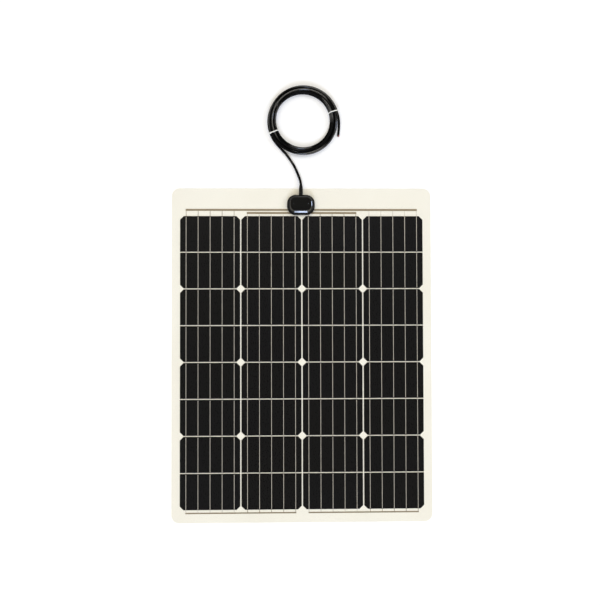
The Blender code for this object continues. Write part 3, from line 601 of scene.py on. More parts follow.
@dataclass(frozen=True)
class BoxPlastic(Finish):
    """Black moulded plastic: matte on level faces and walls, polished on the sloped shoulder.

    How level a face is goes from 0 for a wall to 1 for the flat top. The polish sets in over the first span
    of that value and ends over the second.
    """

    colour: Colour = srgb(16, 16, 14)
    shade: Colour = srgb(11, 11, 10)
    level_from: float = 0.985
    level_rough: float = 0.5
    slope_rough: float = 0.36
    shine: float = 0.08
    polish_sets_in: tuple[float, float] = (0.76, 0.84)
    polish_ends: tuple[float, float] = (0.905, 0.935)
    polish_rough: float = 0.14
    polish_refraction: float = 1.8
    grain_scale: float = 2200.0
    grain_tint: float = 0.4
    grain_rough: float = 0.06
    slope_grain: float = 0.2
    cloud_scale: float = 70.0
    cloud_tint: float = 0.6
    sink_scale: float = 62.0
    sink_stretch: tuple[float, float, float] = (1.0, 0.4, 0.4)
    sink_fade: float = 2.2
    relief: float = 0.03 * MM
    wave: float = 0.9 * MM

    def draw(self, graph: Graph) -> None:
        """Sets roughness, grain and polish by how level the face is, with faint sink marks on the slopes.

        Args:
            graph: The material's empty node tree.
        """
        upright = graph.axes(graph.node("ShaderNodeNewGeometry", out="Normal"))[2]
        level = upright > self.level_from
        polished = upright.rise(*self.polish_sets_in) * (1 - upright.rise(*self.polish_ends))
        grain = graph.noise(self.grain_scale)
        cloud = graph.noise(self.cloud_scale, CLOUD_DETAIL)
        sink = graph.noise(self.sink_scale, NO_DETAIL, self.sink_stretch)
        fine = graph.bump(grain * (level * (1 - self.slope_grain) + self.slope_grain), self.relief)
        unsunk = ((sink - NOISE_MIDDLE) * self.sink_fade + 1).math("MINIMUM", 1.0)
        slope_rough = grain * self.grain_rough + self.slope_rough
        tint = cloud * self.cloud_tint + grain * self.grain_tint
        shader = graph.principled({
            "Base Color": graph.mix(tint, self.shade, self.colour),
            "Roughness": level * self.level_rough + (1 - level) * slope_rough,
            "Specular IOR Level": self.shine,
            "Coat Weight": polished * unsunk,
            "Coat Roughness": self.polish_rough,
            "Coat IOR": self.polish_refraction,
            "Normal": graph.bump(sink * (1 - level), self.wave, fine),
        })
        graph.surface(shader)


@dataclass(frozen=True)
class DiodeBody(Finish):
    """Black diode body with a pale band at one end."""

    black: Colour = srgb(30, 30, 31)
    band: Colour = srgb(190, 190, 188)
    band_at: float = 3.0 * MM
    band_half: float = 0.6 * MM
    band_cover: float = 0.8
    rough: float = 0.35
    grain_scale: float = 2400.0
    grain_cover: float = 0.2
    grain_rough: float = 0.2
    relief: float = 0.02 * MM

    def draw(self, graph: Graph) -> None:
        """Paints the band by the place along the body's axis.

        Args:
            graph: The material's empty node tree.
        """
        _, _, along = graph.axes(graph.place())
        grain = graph.noise(self.grain_scale)
        band = abs(along - self.band_at) < self.band_half
        cover = grain * self.grain_cover + self.band_cover
        shader = graph.principled({
            "Base Color": graph.mix(band * cover, self.black, self.band),
            "Roughness": grain * self.grain_rough + self.rough,
            "Normal": graph.bump(grain, self.relief),
        })
        graph.surface(shader)


@dataclass(frozen=True)
class StudioFloor(Finish):
    """White floor that the camera and reflections see as white, and that keeps the object's shadow."""

    colour: Colour = srgb(248, 248, 248)
    colour_pale: Colour = srgb(250, 250, 250)
    mottle_scale: float = 3.0
    mottle_rough: float = 0.1
    rough: float = 0.8
    shine: float = 0.1
    dark: Colour = (0.0, 0.0, 0.0, 1.0)
    lift: Colour = (0.1, 0.1, 0.1, 1.0)

    def draw(self, graph: Graph) -> None:
        """Adds a little glow for camera, glossy and transmission rays alone.

        Args:
            graph: The material's empty node tree.
        """
        seen = graph.node("ShaderNodeLightPath", out="Is Camera Ray")
        for ray in ("Is Glossy Ray", "Is Transmission Ray"):
            seen = seen.math("MAXIMUM", graph.node("ShaderNodeLightPath", out=ray))
        mottle = graph.noise(self.mottle_scale)
        shader = graph.principled({
            "Base Color": graph.mix(mottle, self.colour, self.colour_pale),
            "Roughness": mottle * self.mottle_rough + self.rough,
            "Specular IOR Level": self.shine,
            "Emission Color": graph.mix(seen, self.dark, self.lift),
            "Emission Strength": 1.0,
        })
        graph.surface(shader)


class Finishes(Enum):
    """The finishes of this panel."""

    SHEET = WhiteSheet("cream_laminate")
    FILM = ClearFilm("clear_film")
    CELL = SiliconCell("silicon_cell")
    BUS = Metal("tinned_ribbon", srgb(152, 139, 113), srgb(134, 122, 98), rough=0.25, metallic=0.4)
    TERMINAL = Metal(
        "tinned_terminal",
        srgb(205, 202, 194),
        srgb(168, 164, 155),
        rough=0.2,
        streak_scale=500.0,
        stretch=STREAKS_ALONG_Y,
    )
    SOLDER = Metal(
        "solder", srgb(214, 214, 212), srgb(180, 180, 178), rough=0.14, streak_scale=300.0, stretch=EVEN
    )
    COPPER = Metal(
        "copper_strand",
        srgb(222, 140, 92),
        srgb(180, 98, 60),
        rough=0.18,
        streak_scale=900.0,
        stretch=STREAKS_ALONG_Y,
    )
    BOX = BoxPlastic("box_plastic")
    DIODE = DiodeBody("diode_body")
    SLEEVE = Moulding("sleeve_rubber", srgb(11, 11, 11), srgb(7, 7, 7), rough=0.5, shine=0.15)
    SHEATH = CableSheath("lead_sheath")
    SEALANT = Moulding("grey_sealant", srgb(104, 104, 101), srgb(82, 82, 80), rough=0.6)
    NYLON = Moulding("tie_nylon", srgb(246, 246, 242), srgb(232, 232, 226), rough=0.4)
    RED = Moulding("red_core", srgb(178, 36, 30), srgb(150, 26, 22), rough=0.38)
    BLACK = Moulding("black_core", srgb(32, 32, 32), srgb(20, 20, 20), rough=0.38)
    FLOOR = StudioFloor("studio_floor")

    def put_on(self, piece: bpy.types.Object) -> None:
        """Gives a piece this finish alone."""
        self.value.put_on(piece)


class Workshop:
    """Makes meshes and curves from outlines, rings, profiles and routes."""

    sharp_angle: ClassVar[float] = 35.0
    weld: ClassVar[float] = 0.0001 * MM

    @classmethod
    def shade(cls, mesh: bpy.types.Mesh) -> None:
        """Shades round sides smooth and keeps the sharp edges."""
        mesh.shade_smooth()
        mesh.set_sharp_from_angle(angle=radians(cls.sharp_angle))

    @classmethod
    def piece(cls, name: str, bm: bmesh.types.BMesh, finish: Finishes) -> bpy.types.Object:
        """Turns a bmesh into a shaded object.

        Args:
            name: The object's name.
            bm: The mesh, which is freed.
            finish: What the surface is made of.

        Returns:
            The object, linked to the scene.
        """
        bmesh.ops.recalc_face_normals(bm, faces=bm.faces)
        mesh = bpy.data.meshes.new(name)
        bm.to_mesh(mesh)
        bm.free()
        cls.shade(mesh)
        made = bpy.data.objects.new(name, mesh)
        bpy.context.scene.collection.objects.link(made)
        finish.put_on(made)
        return made

    @classmethod
    def combine(cls, target: bpy.types.Object, tool: bpy.types.Object, operation: str) -> None:
        """Cuts or joins a tool into a target and removes the tool.

        Args:
            target: The piece that stays.
            tool: The piece that is used up.
            operation: The Boolean's operation.
        """
        modifier = target.modifiers.new("combine", "BOOLEAN")
        modifier.operation = operation
        modifier.solver = "EXACT"
        modifier.object = tool
        graph = bpy.context.evaluated_depsgraph_get()
        mesh = bpy.data.meshes.new_from_object(target.evaluated_get(graph))
        target.modifiers.clear()
        cls.shade(mesh)
        target.data = mesh
        bpy.data.objects.remove(tool)

    @staticmethod
    def rounded_rectangle(
        width: float,
        depth: float,
        radius: float,
        centre: tuple[float, float] = (0.0, 0.0),
        corner_steps: int = 16,
    ) -> Outline:
        """Outline of a rectangle with round corners, anticlockwise.

        Args:
            width: Size along X.
            depth: Size along Y.
            radius: Corner radius.
            centre: Middle of the rectangle.
            corner_steps: Straight pieces per corner.

        Returns:
            The outline's points.
        """
        points = []
        for corner in range(4):
            side_x = 1 if corner in (0, 3) else -1
            side_y = 1 if corner in (0, 1) else -1
            middle_x = centre[0] + side_x * (width / 2 - radius)
            middle_y = centre[1] + side_y * (depth / 2 - radius)
            for step in range(corner_steps + 1):
                angle = (corner + step / corner_steps) * pi / 2
                points.append((middle_x + radius * cos(angle), middle_y + radius * sin(angle)))
        return points

    @staticmethod
    def bridge(bm: bmesh.types.BMesh, loops: Sequence[Sequence[bmesh.types.BMVert]], closed: bool) -> None:
        """Joins loops of equal point count with faces.

        Args:
            bm: The mesh that holds the loops.
            loops: Rings of points, each joined to the next.
            closed: True if the last ring joins the first.
        """
        pairs = list(zip(loops, loops[1:]))
        if closed:
            pairs.append((loops[-1], loops[0]))
        for first, second in pairs:
            for index in range(len(first)):
                bm.faces.new((first[index - 1], first[index], second[index], second[index - 1]))

    @classmethod
    def loft(
        cls, name: str, rings: Sequence[Ring], finish: Finishes, closed: bool = False
    ) -> bpy.types.Object:
        """A solid through rings of equal point count.

        Args:
            name: The object's name.
            rings: Rings of points in order.
            finish: What the surface is made of.
            closed: True to join the last ring to the first in place of end faces.

        Returns:
            The object.
        """
        bm = bmesh.new()
        loops = [[bm.verts.new(point) for point in ring] for ring in rings]
        cls.bridge(bm, loops, closed)
        if not closed:
            bm.faces.new(loops[0][::-1])
            bm.faces.new(loops[-1])
        return cls.piece(name, bm, finish)

    @classmethod
    def slab(cls, name: str, outline: Outline, low: float, high: float, finish: Finishes) -> bpy.types.Object:
        """A flat plate from an outline in X and Y, between two heights."""
        rings = [[(x, y, height) for x, y in outline] for height in (low, high)]
        return cls.loft(name, rings, finish)

    @classmethod
    def lathe(cls, name: str, profile: Outline, sides: int, finish: Finishes) -> bpy.types.Object:
        """A turned solid about Z.

        Args:
            name: The object's name.
            profile: Closed profile of (radius, height) points.
            sides: Steps round the axis.
            finish: What the surface is made of.

        Returns:
            The object.
        """
        bm = bmesh.new()
        verts = [bm.verts.new((radius, 0.0, height)) for radius, height in profile]
        edges = [bm.edges.new((verts[index - 1], verts[index])) for index in range(len(verts))]
        bmesh.ops.spin(
            bm, geom=verts + edges, cent=(0, 0, 0), axis=(0, 0, 1), angle=2 * pi, steps=sides, use_merge=True
        )
        bmesh.ops.remove_doubles(bm, verts=bm.verts, dist=cls.weld)
        bmesh.ops.dissolve_degenerate(bm, edges=bm.edges, dist=cls.weld)
        return cls.piece(name, bm, finish)

    @staticmethod
    def tube(
        name: str, points: Sequence[Vector], radius: float, finish: Finishes, rounds: int = 6
    ) -> bpy.types.Object:
        """A round tube with filled ends along a line of points.

        Args:
            name: The object's name.
            points: The tube's middle line.
            radius: The tube's radius.
            finish: What the surface is made of.
            rounds: The curve's bevel resolution.

        Returns:
            The curve object.
        """
        curve = bpy.data.curves.new(name, "CURVE")
        curve.dimensions = "3D"
        curve.bevel_depth = radius
        curve.bevel_resolution = rounds
        curve.use_fill_caps = True
        spline = curve.splines.new("POLY")
        spline.points.add(len(points) - 1)
        for target, point in zip(spline.points, points):
            target.co = (*point, 1.0)
        made = bpy.data.objects.new(name, curve)
        bpy.context.scene.collection.objects.link(made)
        finish.put_on(made)
        return made

    @staticmethod
    def smooth_route(route: Sequence[Vector], spacing: float) -> list[Vector]:
        """Points on a smooth curve through a route.

        Args:
            route: Points that the curve passes.
            spacing: About how far apart the points lie.

        Returns:
            The points, with both ends of the route.
        """
        ends = [route[0] * 2 - route[1], *route, route[-1] * 2 - route[-2]]
        path = []
        for before, start, end, after in zip(ends, ends[1:], ends[2:], ends[3:]):
            count = max(2, round((end - start).length / spacing))
            for step in range(count):
                share = step / count
                pull = (end - before) * share
                bend = (before * 2 - start * 5 + end * 4 - after) * share ** 2
                twist = (start * 3 - before - end * 3 + after) * share ** 3
                path.append(start + (pull + bend + twist) / 2)
        path.append(route[-1].copy())
        return path


def settle(piece: bpy.types.Object, body: Body, slot: str, *nodes: str) -> bpy.types.Object:
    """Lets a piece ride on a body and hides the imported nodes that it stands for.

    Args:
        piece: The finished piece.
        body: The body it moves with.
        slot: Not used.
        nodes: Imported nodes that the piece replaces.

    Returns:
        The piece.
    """
    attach(piece, body.value)
    if nodes:
        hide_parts(*nodes)
    LOG.info("piece %s rides on %s", piece.name, body.value)
    return piece


@dataclass(frozen=True)
class Lamp:
    """A wide distant lamp.

    Elevation is in degrees above the floor, and azimuth in degrees from +X towards +Y where the lamp stands.
    Spread is the lamp's apparent size in degrees, and power the light on a face that looks at the lamp.
    """

    name: str
    elevation: float
    azimuth: float
    spread: float
    power: float
    colour: tuple[float, float, float]

    def hang(self) -> None:
        """Adds the lamp to the scene."""
        data = bpy.data.lights.new(self.name, "SUN")
        data.energy = self.power
        data.angle = radians(self.spread)
        data.color = self.colour
        tilt = radians(self.elevation)
        turn = radians(self.azimuth)
        towards = Vector((cos(tilt) * cos(turn), cos(tilt) * sin(turn), sin(tilt)))
        lamp = bpy.data.objects.new(self.name, data)
        lamp.rotation_mode = "QUATERNION"
        lamp.rotation_quaternion = towards.to_track_quat("Z", "Y")
        bpy.context.scene.collection.objects.link(lamp)


@dataclass
class Studio:
    """Camera, floor and soft light.

    Places in the sky are sines of the elevation, from 0 at the horizon to 1 overhead.
    """

    camera_place: Vector = field(default_factory=lambda: Vector((-44.9, 95.39, 1835.53)) * MM)
    camera_turn: tuple[float, float, float] = (1.283, -1.244, -0.144)
    focal_pixels: float = 700.0
    image_height: float = 605.0
    sensor: float = 36.0
    floor_size: float = 30.0
    floor_height: float = -0.1 * MM
    floor_thickness: float = 1 * MM
    backdrop: Colour = (1.0, 1.0, 1.0, 1.0)
    backdrop_top: float = 0.2
    gap: Colour = (0.28, 0.275, 0.27, 1.0)
    gap_span: tuple[float, float] = (0.3, 0.56)
    softbox: Colour = (1.255, 1.175, 0.98, 1.0)
    softbox_span: tuple[float, float] = (0.7, 0.87)
    zenith: Colour = (0.2, 0.197, 0.19, 1.0)
    zenith_low: float = 0.93
    lamps: tuple[Lamp, ...] = (
        Lamp("window_light", elevation=37.5, azimuth=-90, spread=18, power=1.2, colour=(0.6, 0.72, 1.0)),
        Lamp("side_light", elevation=36, azimuth=11.5, spread=12, power=0.5, colour=(0.6, 0.72, 1.0)),
        Lamp("coil_light", elevation=68, azimuth=90, spread=18, power=0.45, colour=(1.0, 0.97, 0.92)),
    )

    def place_camera(self) -> None:
        """Sets a camera that looks at the panel as the photograph does."""
        data = bpy.data.cameras.new("camera")
        data.sensor_width = self.sensor
        data.lens = self.focal_pixels / self.image_height * self.sensor
        camera = bpy.data.objects.new("camera", data)
        camera.location = self.camera_place
        camera.rotation_euler = [radians(angle) for angle in self.camera_turn]
        bpy.context.scene.collection.objects.link(camera)
        bpy.context.scene.camera = camera

    def lay_floor(self) -> None:
        """Lays the white floor."""
        half = self.floor_size / 2
        outline = [(-half, -half), (half, -half), (half, half), (-half, half)]
        low = self.floor_height - self.floor_thickness
        floor = Workshop.slab("floor", outline, low, self.floor_height, Finishes.FLOOR)

    def light(self) -> None:
        """Hangs the lamps and sets a ring of soft light, clear of the camera's reflection in the film."""
        for lamp in self.lamps:
            lamp.hang()
        world = bpy.data.worlds.new("studio")
        bpy.context.scene.world = world
        world.use_nodes = True
        graph = Graph(world.node_tree)
        up = graph.axes(graph.node("ShaderNodeTexCoord", out="Generated"))[2]
        stops = [(self.backdrop_top, self.backdrop), (self.zenith_low, self.zenith)]
        stops += [(place, self.gap) for place in self.gap_span]
        stops += [(place, self.softbox) for place in self.softbox_span]
        sky = graph.node("ShaderNodeValToRGB", {"stops": stops}, {"Fac": up}, "Color")
        background = graph.node("ShaderNodeBackground", None, {"Color": sky, "Strength": 1.0})
        graph.node("ShaderNodeOutputWorld", None, {"Surface": background})


@dataclass
class Lead:
    """The cable from the box: free lead, tied coil and cut tail, with its sleeve."""

    radius: float = 3.25 * MM
    seat_gap: float = 0.3 * MM
    exit: tuple[float, float, float] = (-2 * MM, 417 * MM, 9.5 * MM)
    spacing: float = 3.5 * MM
    centre: tuple[float, float] = COIL_CENTRE
    inner_radius: float = 72.5 * MM
    pitch: float = 7.1 * MM
    start_angle: float = 222.0
    steps: int = 134
    steps_per_loop: int = 24
    fineness: int = 4
    reversal_turns: float = 0.08
    climb_turns: float = 0.5
    floor_z: float = 4.4 * MM
    layer_rise: float = 7.0 * MM
    lead_in: float = 7.8 * MM
    lead_straight: float = 13 * MM
    tail_first_step: int = 130
    tail_drop: float = 1.2 * MM
    tie_angles: dict[Side, float] = field(default_factory=lambda: {Side.LEFT: 201.0, Side.RIGHT: 17.3})
    tie_width: float = 2.6 * MM
    tie_thickness: float = 0.8 * MM
    tie_edge: float = 0.2 * MM
    tie_steps: int = 72
    tie_head: tuple[float, float, float] = (3.2 * MM, 4.4 * MM, 4.2 * MM)
    tie_head_lean: float = 26.0
    tie_head_taper: float = 0.35 * MM
    block_bevel: float = 0.25 * MM
    stub_width: float = 2.3 * MM
    stub_lift: float = 1.4 * MM
    stub_length: float = 3.0 * MM
    stub_sink: float = 0.5 * MM
    stub_taper: float = 0.05 * MM
    core_radius: float = 1.3 * MM
    core_spacing: float = 3.0 * MM
    core_length: float = 3.0 * MM
    strand_radius: float = 0.3 * MM
    strand_pitch: float = 0.615 * MM
    strand_proud: float = 0.5 * MM
    strand_taper: float = 0.92
    strand_sides: int = 14
    outer_strands: int = 6
    lead_route: list[Vector] = field(default_factory=lambda: [
        Vector((-2.0, 411.0, 9.5)) * MM,
        Vector((-2.0, 426.0, 9.5)) * MM,
        Vector((-2.0, 443.0, 9.5)) * MM,
        Vector((-2.8, 452.0, 9.2)) * MM,
        Vector((-6.0, 463.0, 7.0)) * MM,
        Vector((-9.9, 474.0, 4.6)) * MM,
        Vector((-14.6, 485.0, 3.6)) * MM,
        Vector((-20.9, 498.0, 3.4)) * MM,
        Vector((-29.6, 511.0, 3.5)) * MM,
        Vector((-39.2, 524.5, 3.9)) * MM,
    ])
    tail_route: list[Vector] = field(default_factory=lambda: [
        Vector((96.8, 623.8, 9.1)) * MM,
        Vector((98.6, 613.4, 6.6)) * MM,
        Vector((98.7, 603.0, 4.6)) * MM,
        Vector((98.4, 593.0, 3.6)) * MM,
        Vector((97.6, 585.0, 3.4)) * MM,
        Vector((96.9, 577.0, 3.4)) * MM,
    ])

    @staticmethod
    def ease(share: float) -> float:
        """Eases from 0 to 1 and holds outside that range."""
        share = min(max(share, 0.0), 1.0)
        return share * share * (3 - 2 * share)

    def loop_point(self, step: float) -> Vector:
        """A point of the coil: it spirals in below, climbs where it turns back, and spirals out on top.

        Args:
            step: How far along the loops, in the solids' steps.

        Returns:
            The point.
        """
        turn = (step - self.steps / 2) / self.steps_per_loop
        wound = sqrt(turn ** 2 + self.reversal_turns ** 2) - self.reversal_turns
        radius = self.inner_radius + self.pitch * wound
        height = self.floor_z + self.layer_rise * self.ease(turn / self.climb_turns + 0.5)
        leaving = self.ease((step - self.tail_first_step) / (self.steps - self.tail_first_step))
        angle = radians(self.start_angle - step * 360 / self.steps_per_loop)
        height -= self.tail_drop * leaving
        return Vector((self.centre[0] + radius * cos(angle), self.centre[1] + radius * sin(angle), height))

    def path(self) -> list[Vector]:
        """The whole cable's middle line, from inside the sleeve to the cut tail.

        Returns:
            The line's points in order.
        """
        count = self.steps * self.fineness
        loops = [self.loop_point(step / self.fineness) for step in range(count + 1)]
        angle = radians(self.start_angle)
        tangent = Vector((sin(angle), -cos(angle), 0.0))
        start = loops[0] - tangent * self.lead_in
        lead_route = [*self.lead_route, start - tangent * self.lead_straight, start]
        lead = Workshop.smooth_route(lead_route, self.spacing)
        tail = Workshop.smooth_route([loops[-3], loops[-1], *self.tail_route], self.spacing)
        skipped = next(index for index, point in enumerate(tail) if (point - loops[-1]).length < 1e-6)
        return [*lead, *loops, *tail[skipped + 1:]]

    def strands_at(self, angle: float) -> list[tuple[float, float]]:
        """Where the coil crosses the half plane at an angle.

        Args:
            angle: Degrees round the coil's middle.

        Returns:
            Pairs of radius and height.
        """
        strands = []
        step = ((self.start_angle - angle) % 360) * self.steps_per_loop / 360
        while step <= self.steps:
            point = self.loop_point(step)
            from_centre = Vector((point.x - self.centre[0], point.y - self.centre[1]))
            strands.append((from_centre.length, point.z))
            step += self.steps_per_loop
        return strands

    @staticmethod
    def outermost(strands: Sequence[tuple[float, float]], angle: float) -> tuple[float, float]:
        """The strand, as radius and height, that stands furthest out at an angle above the floor."""
        return max(strands, key=lambda strand: strand[0] * cos(angle) + strand[1] * sin(angle))

    def wrap(self, strands: Sequence[tuple[float, float]], clearance: float, y: float) -> Ring:
        """Ring of a band pulled round the strands.

        Args:
            strands: Pairs of radius and height.
            clearance: Distance from the strands' middles.
            y: The ring's place along the cable.

        Returns:
            The ring in the tie's own frame.
        """
        ring = []
        for step in range(self.tie_steps):
            angle = 2 * pi * (step + 0.5) / self.tie_steps
            radius, height = self.outermost(strands, angle)
            ring.append((radius + clearance * cos(angle), y, height + clearance * sin(angle)))
        return ring

    def leaning_block(
        self, low: Vector, width: float, depth: Vector, rise: Vector, taper: float
    ) -> bpy.types.Object:
        """A nylon block with softened edges on a leaning face.

        Args:
            low: Middle of its lowest inner edge.
            width: Size along Y.
            depth: The way out of the face.
            rise: The way up along the face.
            taper: How much each edge of the outer face is drawn in.

        Returns:
            The object.
        """
        bm = bmesh.new()
        inner = Vector((0.0, width / 2, 0.0))
        outer = inner - Vector((0.0, taper, 0.0))
        short = rise.normalized() * taper
        foot = [low - inner, low + inner, low + inner + rise, low - inner + rise]
        face = [
            low + depth - outer + short,
            low + depth + outer + short,
            low + depth + outer + rise - short,
            low + depth - outer + rise - short,
        ]
        loops = [[bm.verts.new(point) for point in corners] for corners in (foot, face)]
        Workshop.bridge(bm, loops, closed=False)
        bm.faces.new(loops[0][::-1])
        bm.faces.new(loops[1])
        bmesh.ops.bevel(
            bm, geom=list(bm.edges), offset=self.block_bevel, segments=3, affect="EDGES", profile=0.5
        )
        return Workshop.piece("block", bm, Finishes.NYLON)

    def build_tie(self, side: Side) -> bpy.types.Object:
        """One tie pulled round the coil, with its head and cut end on the outer side.

        Args:
            side: Which tie.

        Returns:
            The tie.
        """
        strands = self.strands_at(self.tie_angles[side])
        near = self.radius + self.seat_gap
        far = near + self.tie_thickness
        half = self.tie_width / 2
        section = [(near, -half), (far - self.tie_edge, -half), (far, self.tie_edge - half)]
        section += [(clearance, -y) for clearance, y in section[::-1]]
        rings = [self.wrap(strands, clearance, y) for clearance, y in section]
        tie = Workshop.loft(f"tie_{side.word}", rings, Finishes.NYLON, closed=True)
        lean = radians(self.tie_head_lean)
        pull = Vector((cos(lean), 0.0, sin(lean)))
        rise = Vector((-sin(lean), 0.0, cos(lean)))
        radius, height = self.outermost(strands, lean)
        foot = Vector((radius, 0.0, height)) + pull * (near + self.tie_thickness / 2)
        depth, width, length = self.tie_head
        low = foot - rise * length / 2
        head = self.leaning_block(low, width, pull * depth, rise * length, self.tie_head_taper)
        Workshop.combine(tie, head, "UNION")
        low = foot + pull * self.stub_lift + rise * (length / 2 - self.stub_sink)
        out = pull * self.tie_thickness
        stub = self.leaning_block(low, self.stub_width, out, rise * self.stub_length, self.stub_taper)
        Workshop.combine(tie, stub, "UNION")
        tie.location = (*self.centre, 0.0)
        tie.rotation_euler = (0.0, 0.0, radians(self.tie_angles[side]))
        return settle(tie, Body.PANEL, "white_nylon", f"cable_tie_{side.word}")

    def build_core_end(self, side: Side, finish: Finishes, colour: str) -> list[bpy.types.Object]:
        """One core's cut end at the tail, with its strands.

        Args:
            side: Which side of the cable the core lies on.
            finish: The insulation.
            colour: The insulation's colour in the node's name.

        Returns:
            The insulation and the strands.
        """
        end = self.tail_route[-1]
        way = (end - self.tail_route[-2]).normalized()
        across = way.cross(Vector((0, 0, 1))).normalized()
        start = end + way * self.seat_gap + across * side.value * self.core_spacing / 2
        stop = start + way * self.core_length
        insulation = Workshop.tube(f"core_end_{colour}_insulation", [start, stop], self.core_radius, finish)
        settle(insulation, Body.PANEL, f"{colour}_insulation", f"core_end_{colour}")
        up = across.cross(way)
        angles = [2 * pi * index / self.outer_strands for index in range(self.outer_strands)]
        offsets = [(across * cos(angle) + up * sin(angle)) * self.strand_pitch for angle in angles]
        turn = way.to_track_quat("Z", "Y").to_matrix().to_4x4()
        bm = bmesh.new()
        for offset in [*offsets, Vector()]:
            bmesh.ops.create_cone(
                bm,
                cap_ends=True,
                segments=self.strand_sides,
                radius1=self.strand_radius,
                radius2=self.strand_radius * self.strand_taper,
                depth=2 * self.strand_proud,
                matrix=Matrix.Translation(stop + offset) @ turn,
            )
        strands = Workshop.piece(f"core_end_{colour}_strands", bm, Finishes.COPPER)
        settle(strands, Body.PANEL, "tinned_copper")
        return [insulation, strands]

    def build(self, sleeve: bpy.types.Object) -> None:
        """Args:
            sleeve: The strain relief that the cable leaves the box through.
        """
        path = self.path()
        cable = Workshop.tube("cable", path, self.radius, Finishes.SHEATH)
        settle(cable, Body.PANEL, "cable_sheath", "cable_lead", "cable_coil")
        pieces = [sleeve, self.build_tie(Side.LEFT), self.build_tie(Side.RIGHT)]
        pieces += self.build_core_end(Side.LEFT, Finishes.RED, "red")
        pieces += self.build_core_end(Side.RIGHT, Finishes.BLACK, "black")
        length = sum((second - first).length for first, second in zip(path, path[1:]))
        LOG.info("cable length %.3f m", length)


@dataclass
class Laminate:
    """White carrier sheet and the clear layers over it."""

    width: float = 680 * MM
    height: float = 872 * MM
    corner: float = 20 * MM
    film_low: float = 1.05 * MM
    film_high: float = 2.65 * MM
    edge: float = 0.2 * MM
    corner_steps: int = 20
    slot_width: float = 41 * MM
    slot_depth: float = 4 * MM
    slot_corner: float = 1 * MM
    slot_steps: int = 6
    slot_place: tuple[float, float] = (-2 * MM, 384 * MM)
    cutter_top: float = 5 * MM

    def build(self, nodes: Mapping[str, bpy.types.Object]) -> None:
        """Dresses the back sheet and lays the clear film over it.

        Args:
            nodes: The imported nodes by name.
        """
        Finishes.SHEET.put_on(nodes["back_sheet"])
        section = [
            (0.0, self.film_low),
            (0.0, self.film_high - self.edge),
            (self.edge, self.film_high),
        ]
        rings = []
        for inset, height in section:
            outline = Workshop.rounded_rectangle(
                self.width - 2 * inset,
                self.height - 2 * inset,
                self.corner - inset,
                corner_steps=self.corner_steps,
            )
            rings.append([(x, y, height) for x, y in outline])
        film = Workshop.loft("clear_film", rings, Finishes.FILM)
        slot = Workshop.rounded_rectangle(
            self.slot_width, self.slot_depth, self.slot_corner, self.slot_place, self.slot_steps
        )
        cutter = Workshop.slab("slot", slot, 0.0, self.cutter_top, Finishes.FILM)
        Workshop.combine(film, cutter, "DIFFERENCE")
        settle(film, Body.PANEL, "front_film", "front_sheet", "front_encapsulant", "rear_encapsulant")


@dataclass
class CellField:
    """Cells in rows and columns, and the bus ribbons that join the strings."""

    rows: int = 8
    columns: int = 4
    bus_runs: tuple[str, ...] = ("outer", "inner", "bottom")

    def dress(self, nodes: Mapping[str, bpy.types.Object]) -> None:
        """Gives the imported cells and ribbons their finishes.

        Args:
            nodes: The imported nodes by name.
        """
        for row in range(1, self.rows + 1):
            for column in range(1, self.columns + 1):
                Finishes.CELL.put_on(nodes[f"cell_row{row}_column{column}"])
        for run in self.bus_runs:
            for side in Side:
                Finishes.BUS.put_on(nodes[f"bus_ribbon_{run}_{side.word}"])
        LOG.info("dressed %d cells and %d ribbons", self.rows * self.columns, len(self.bus_runs) * len(Side))


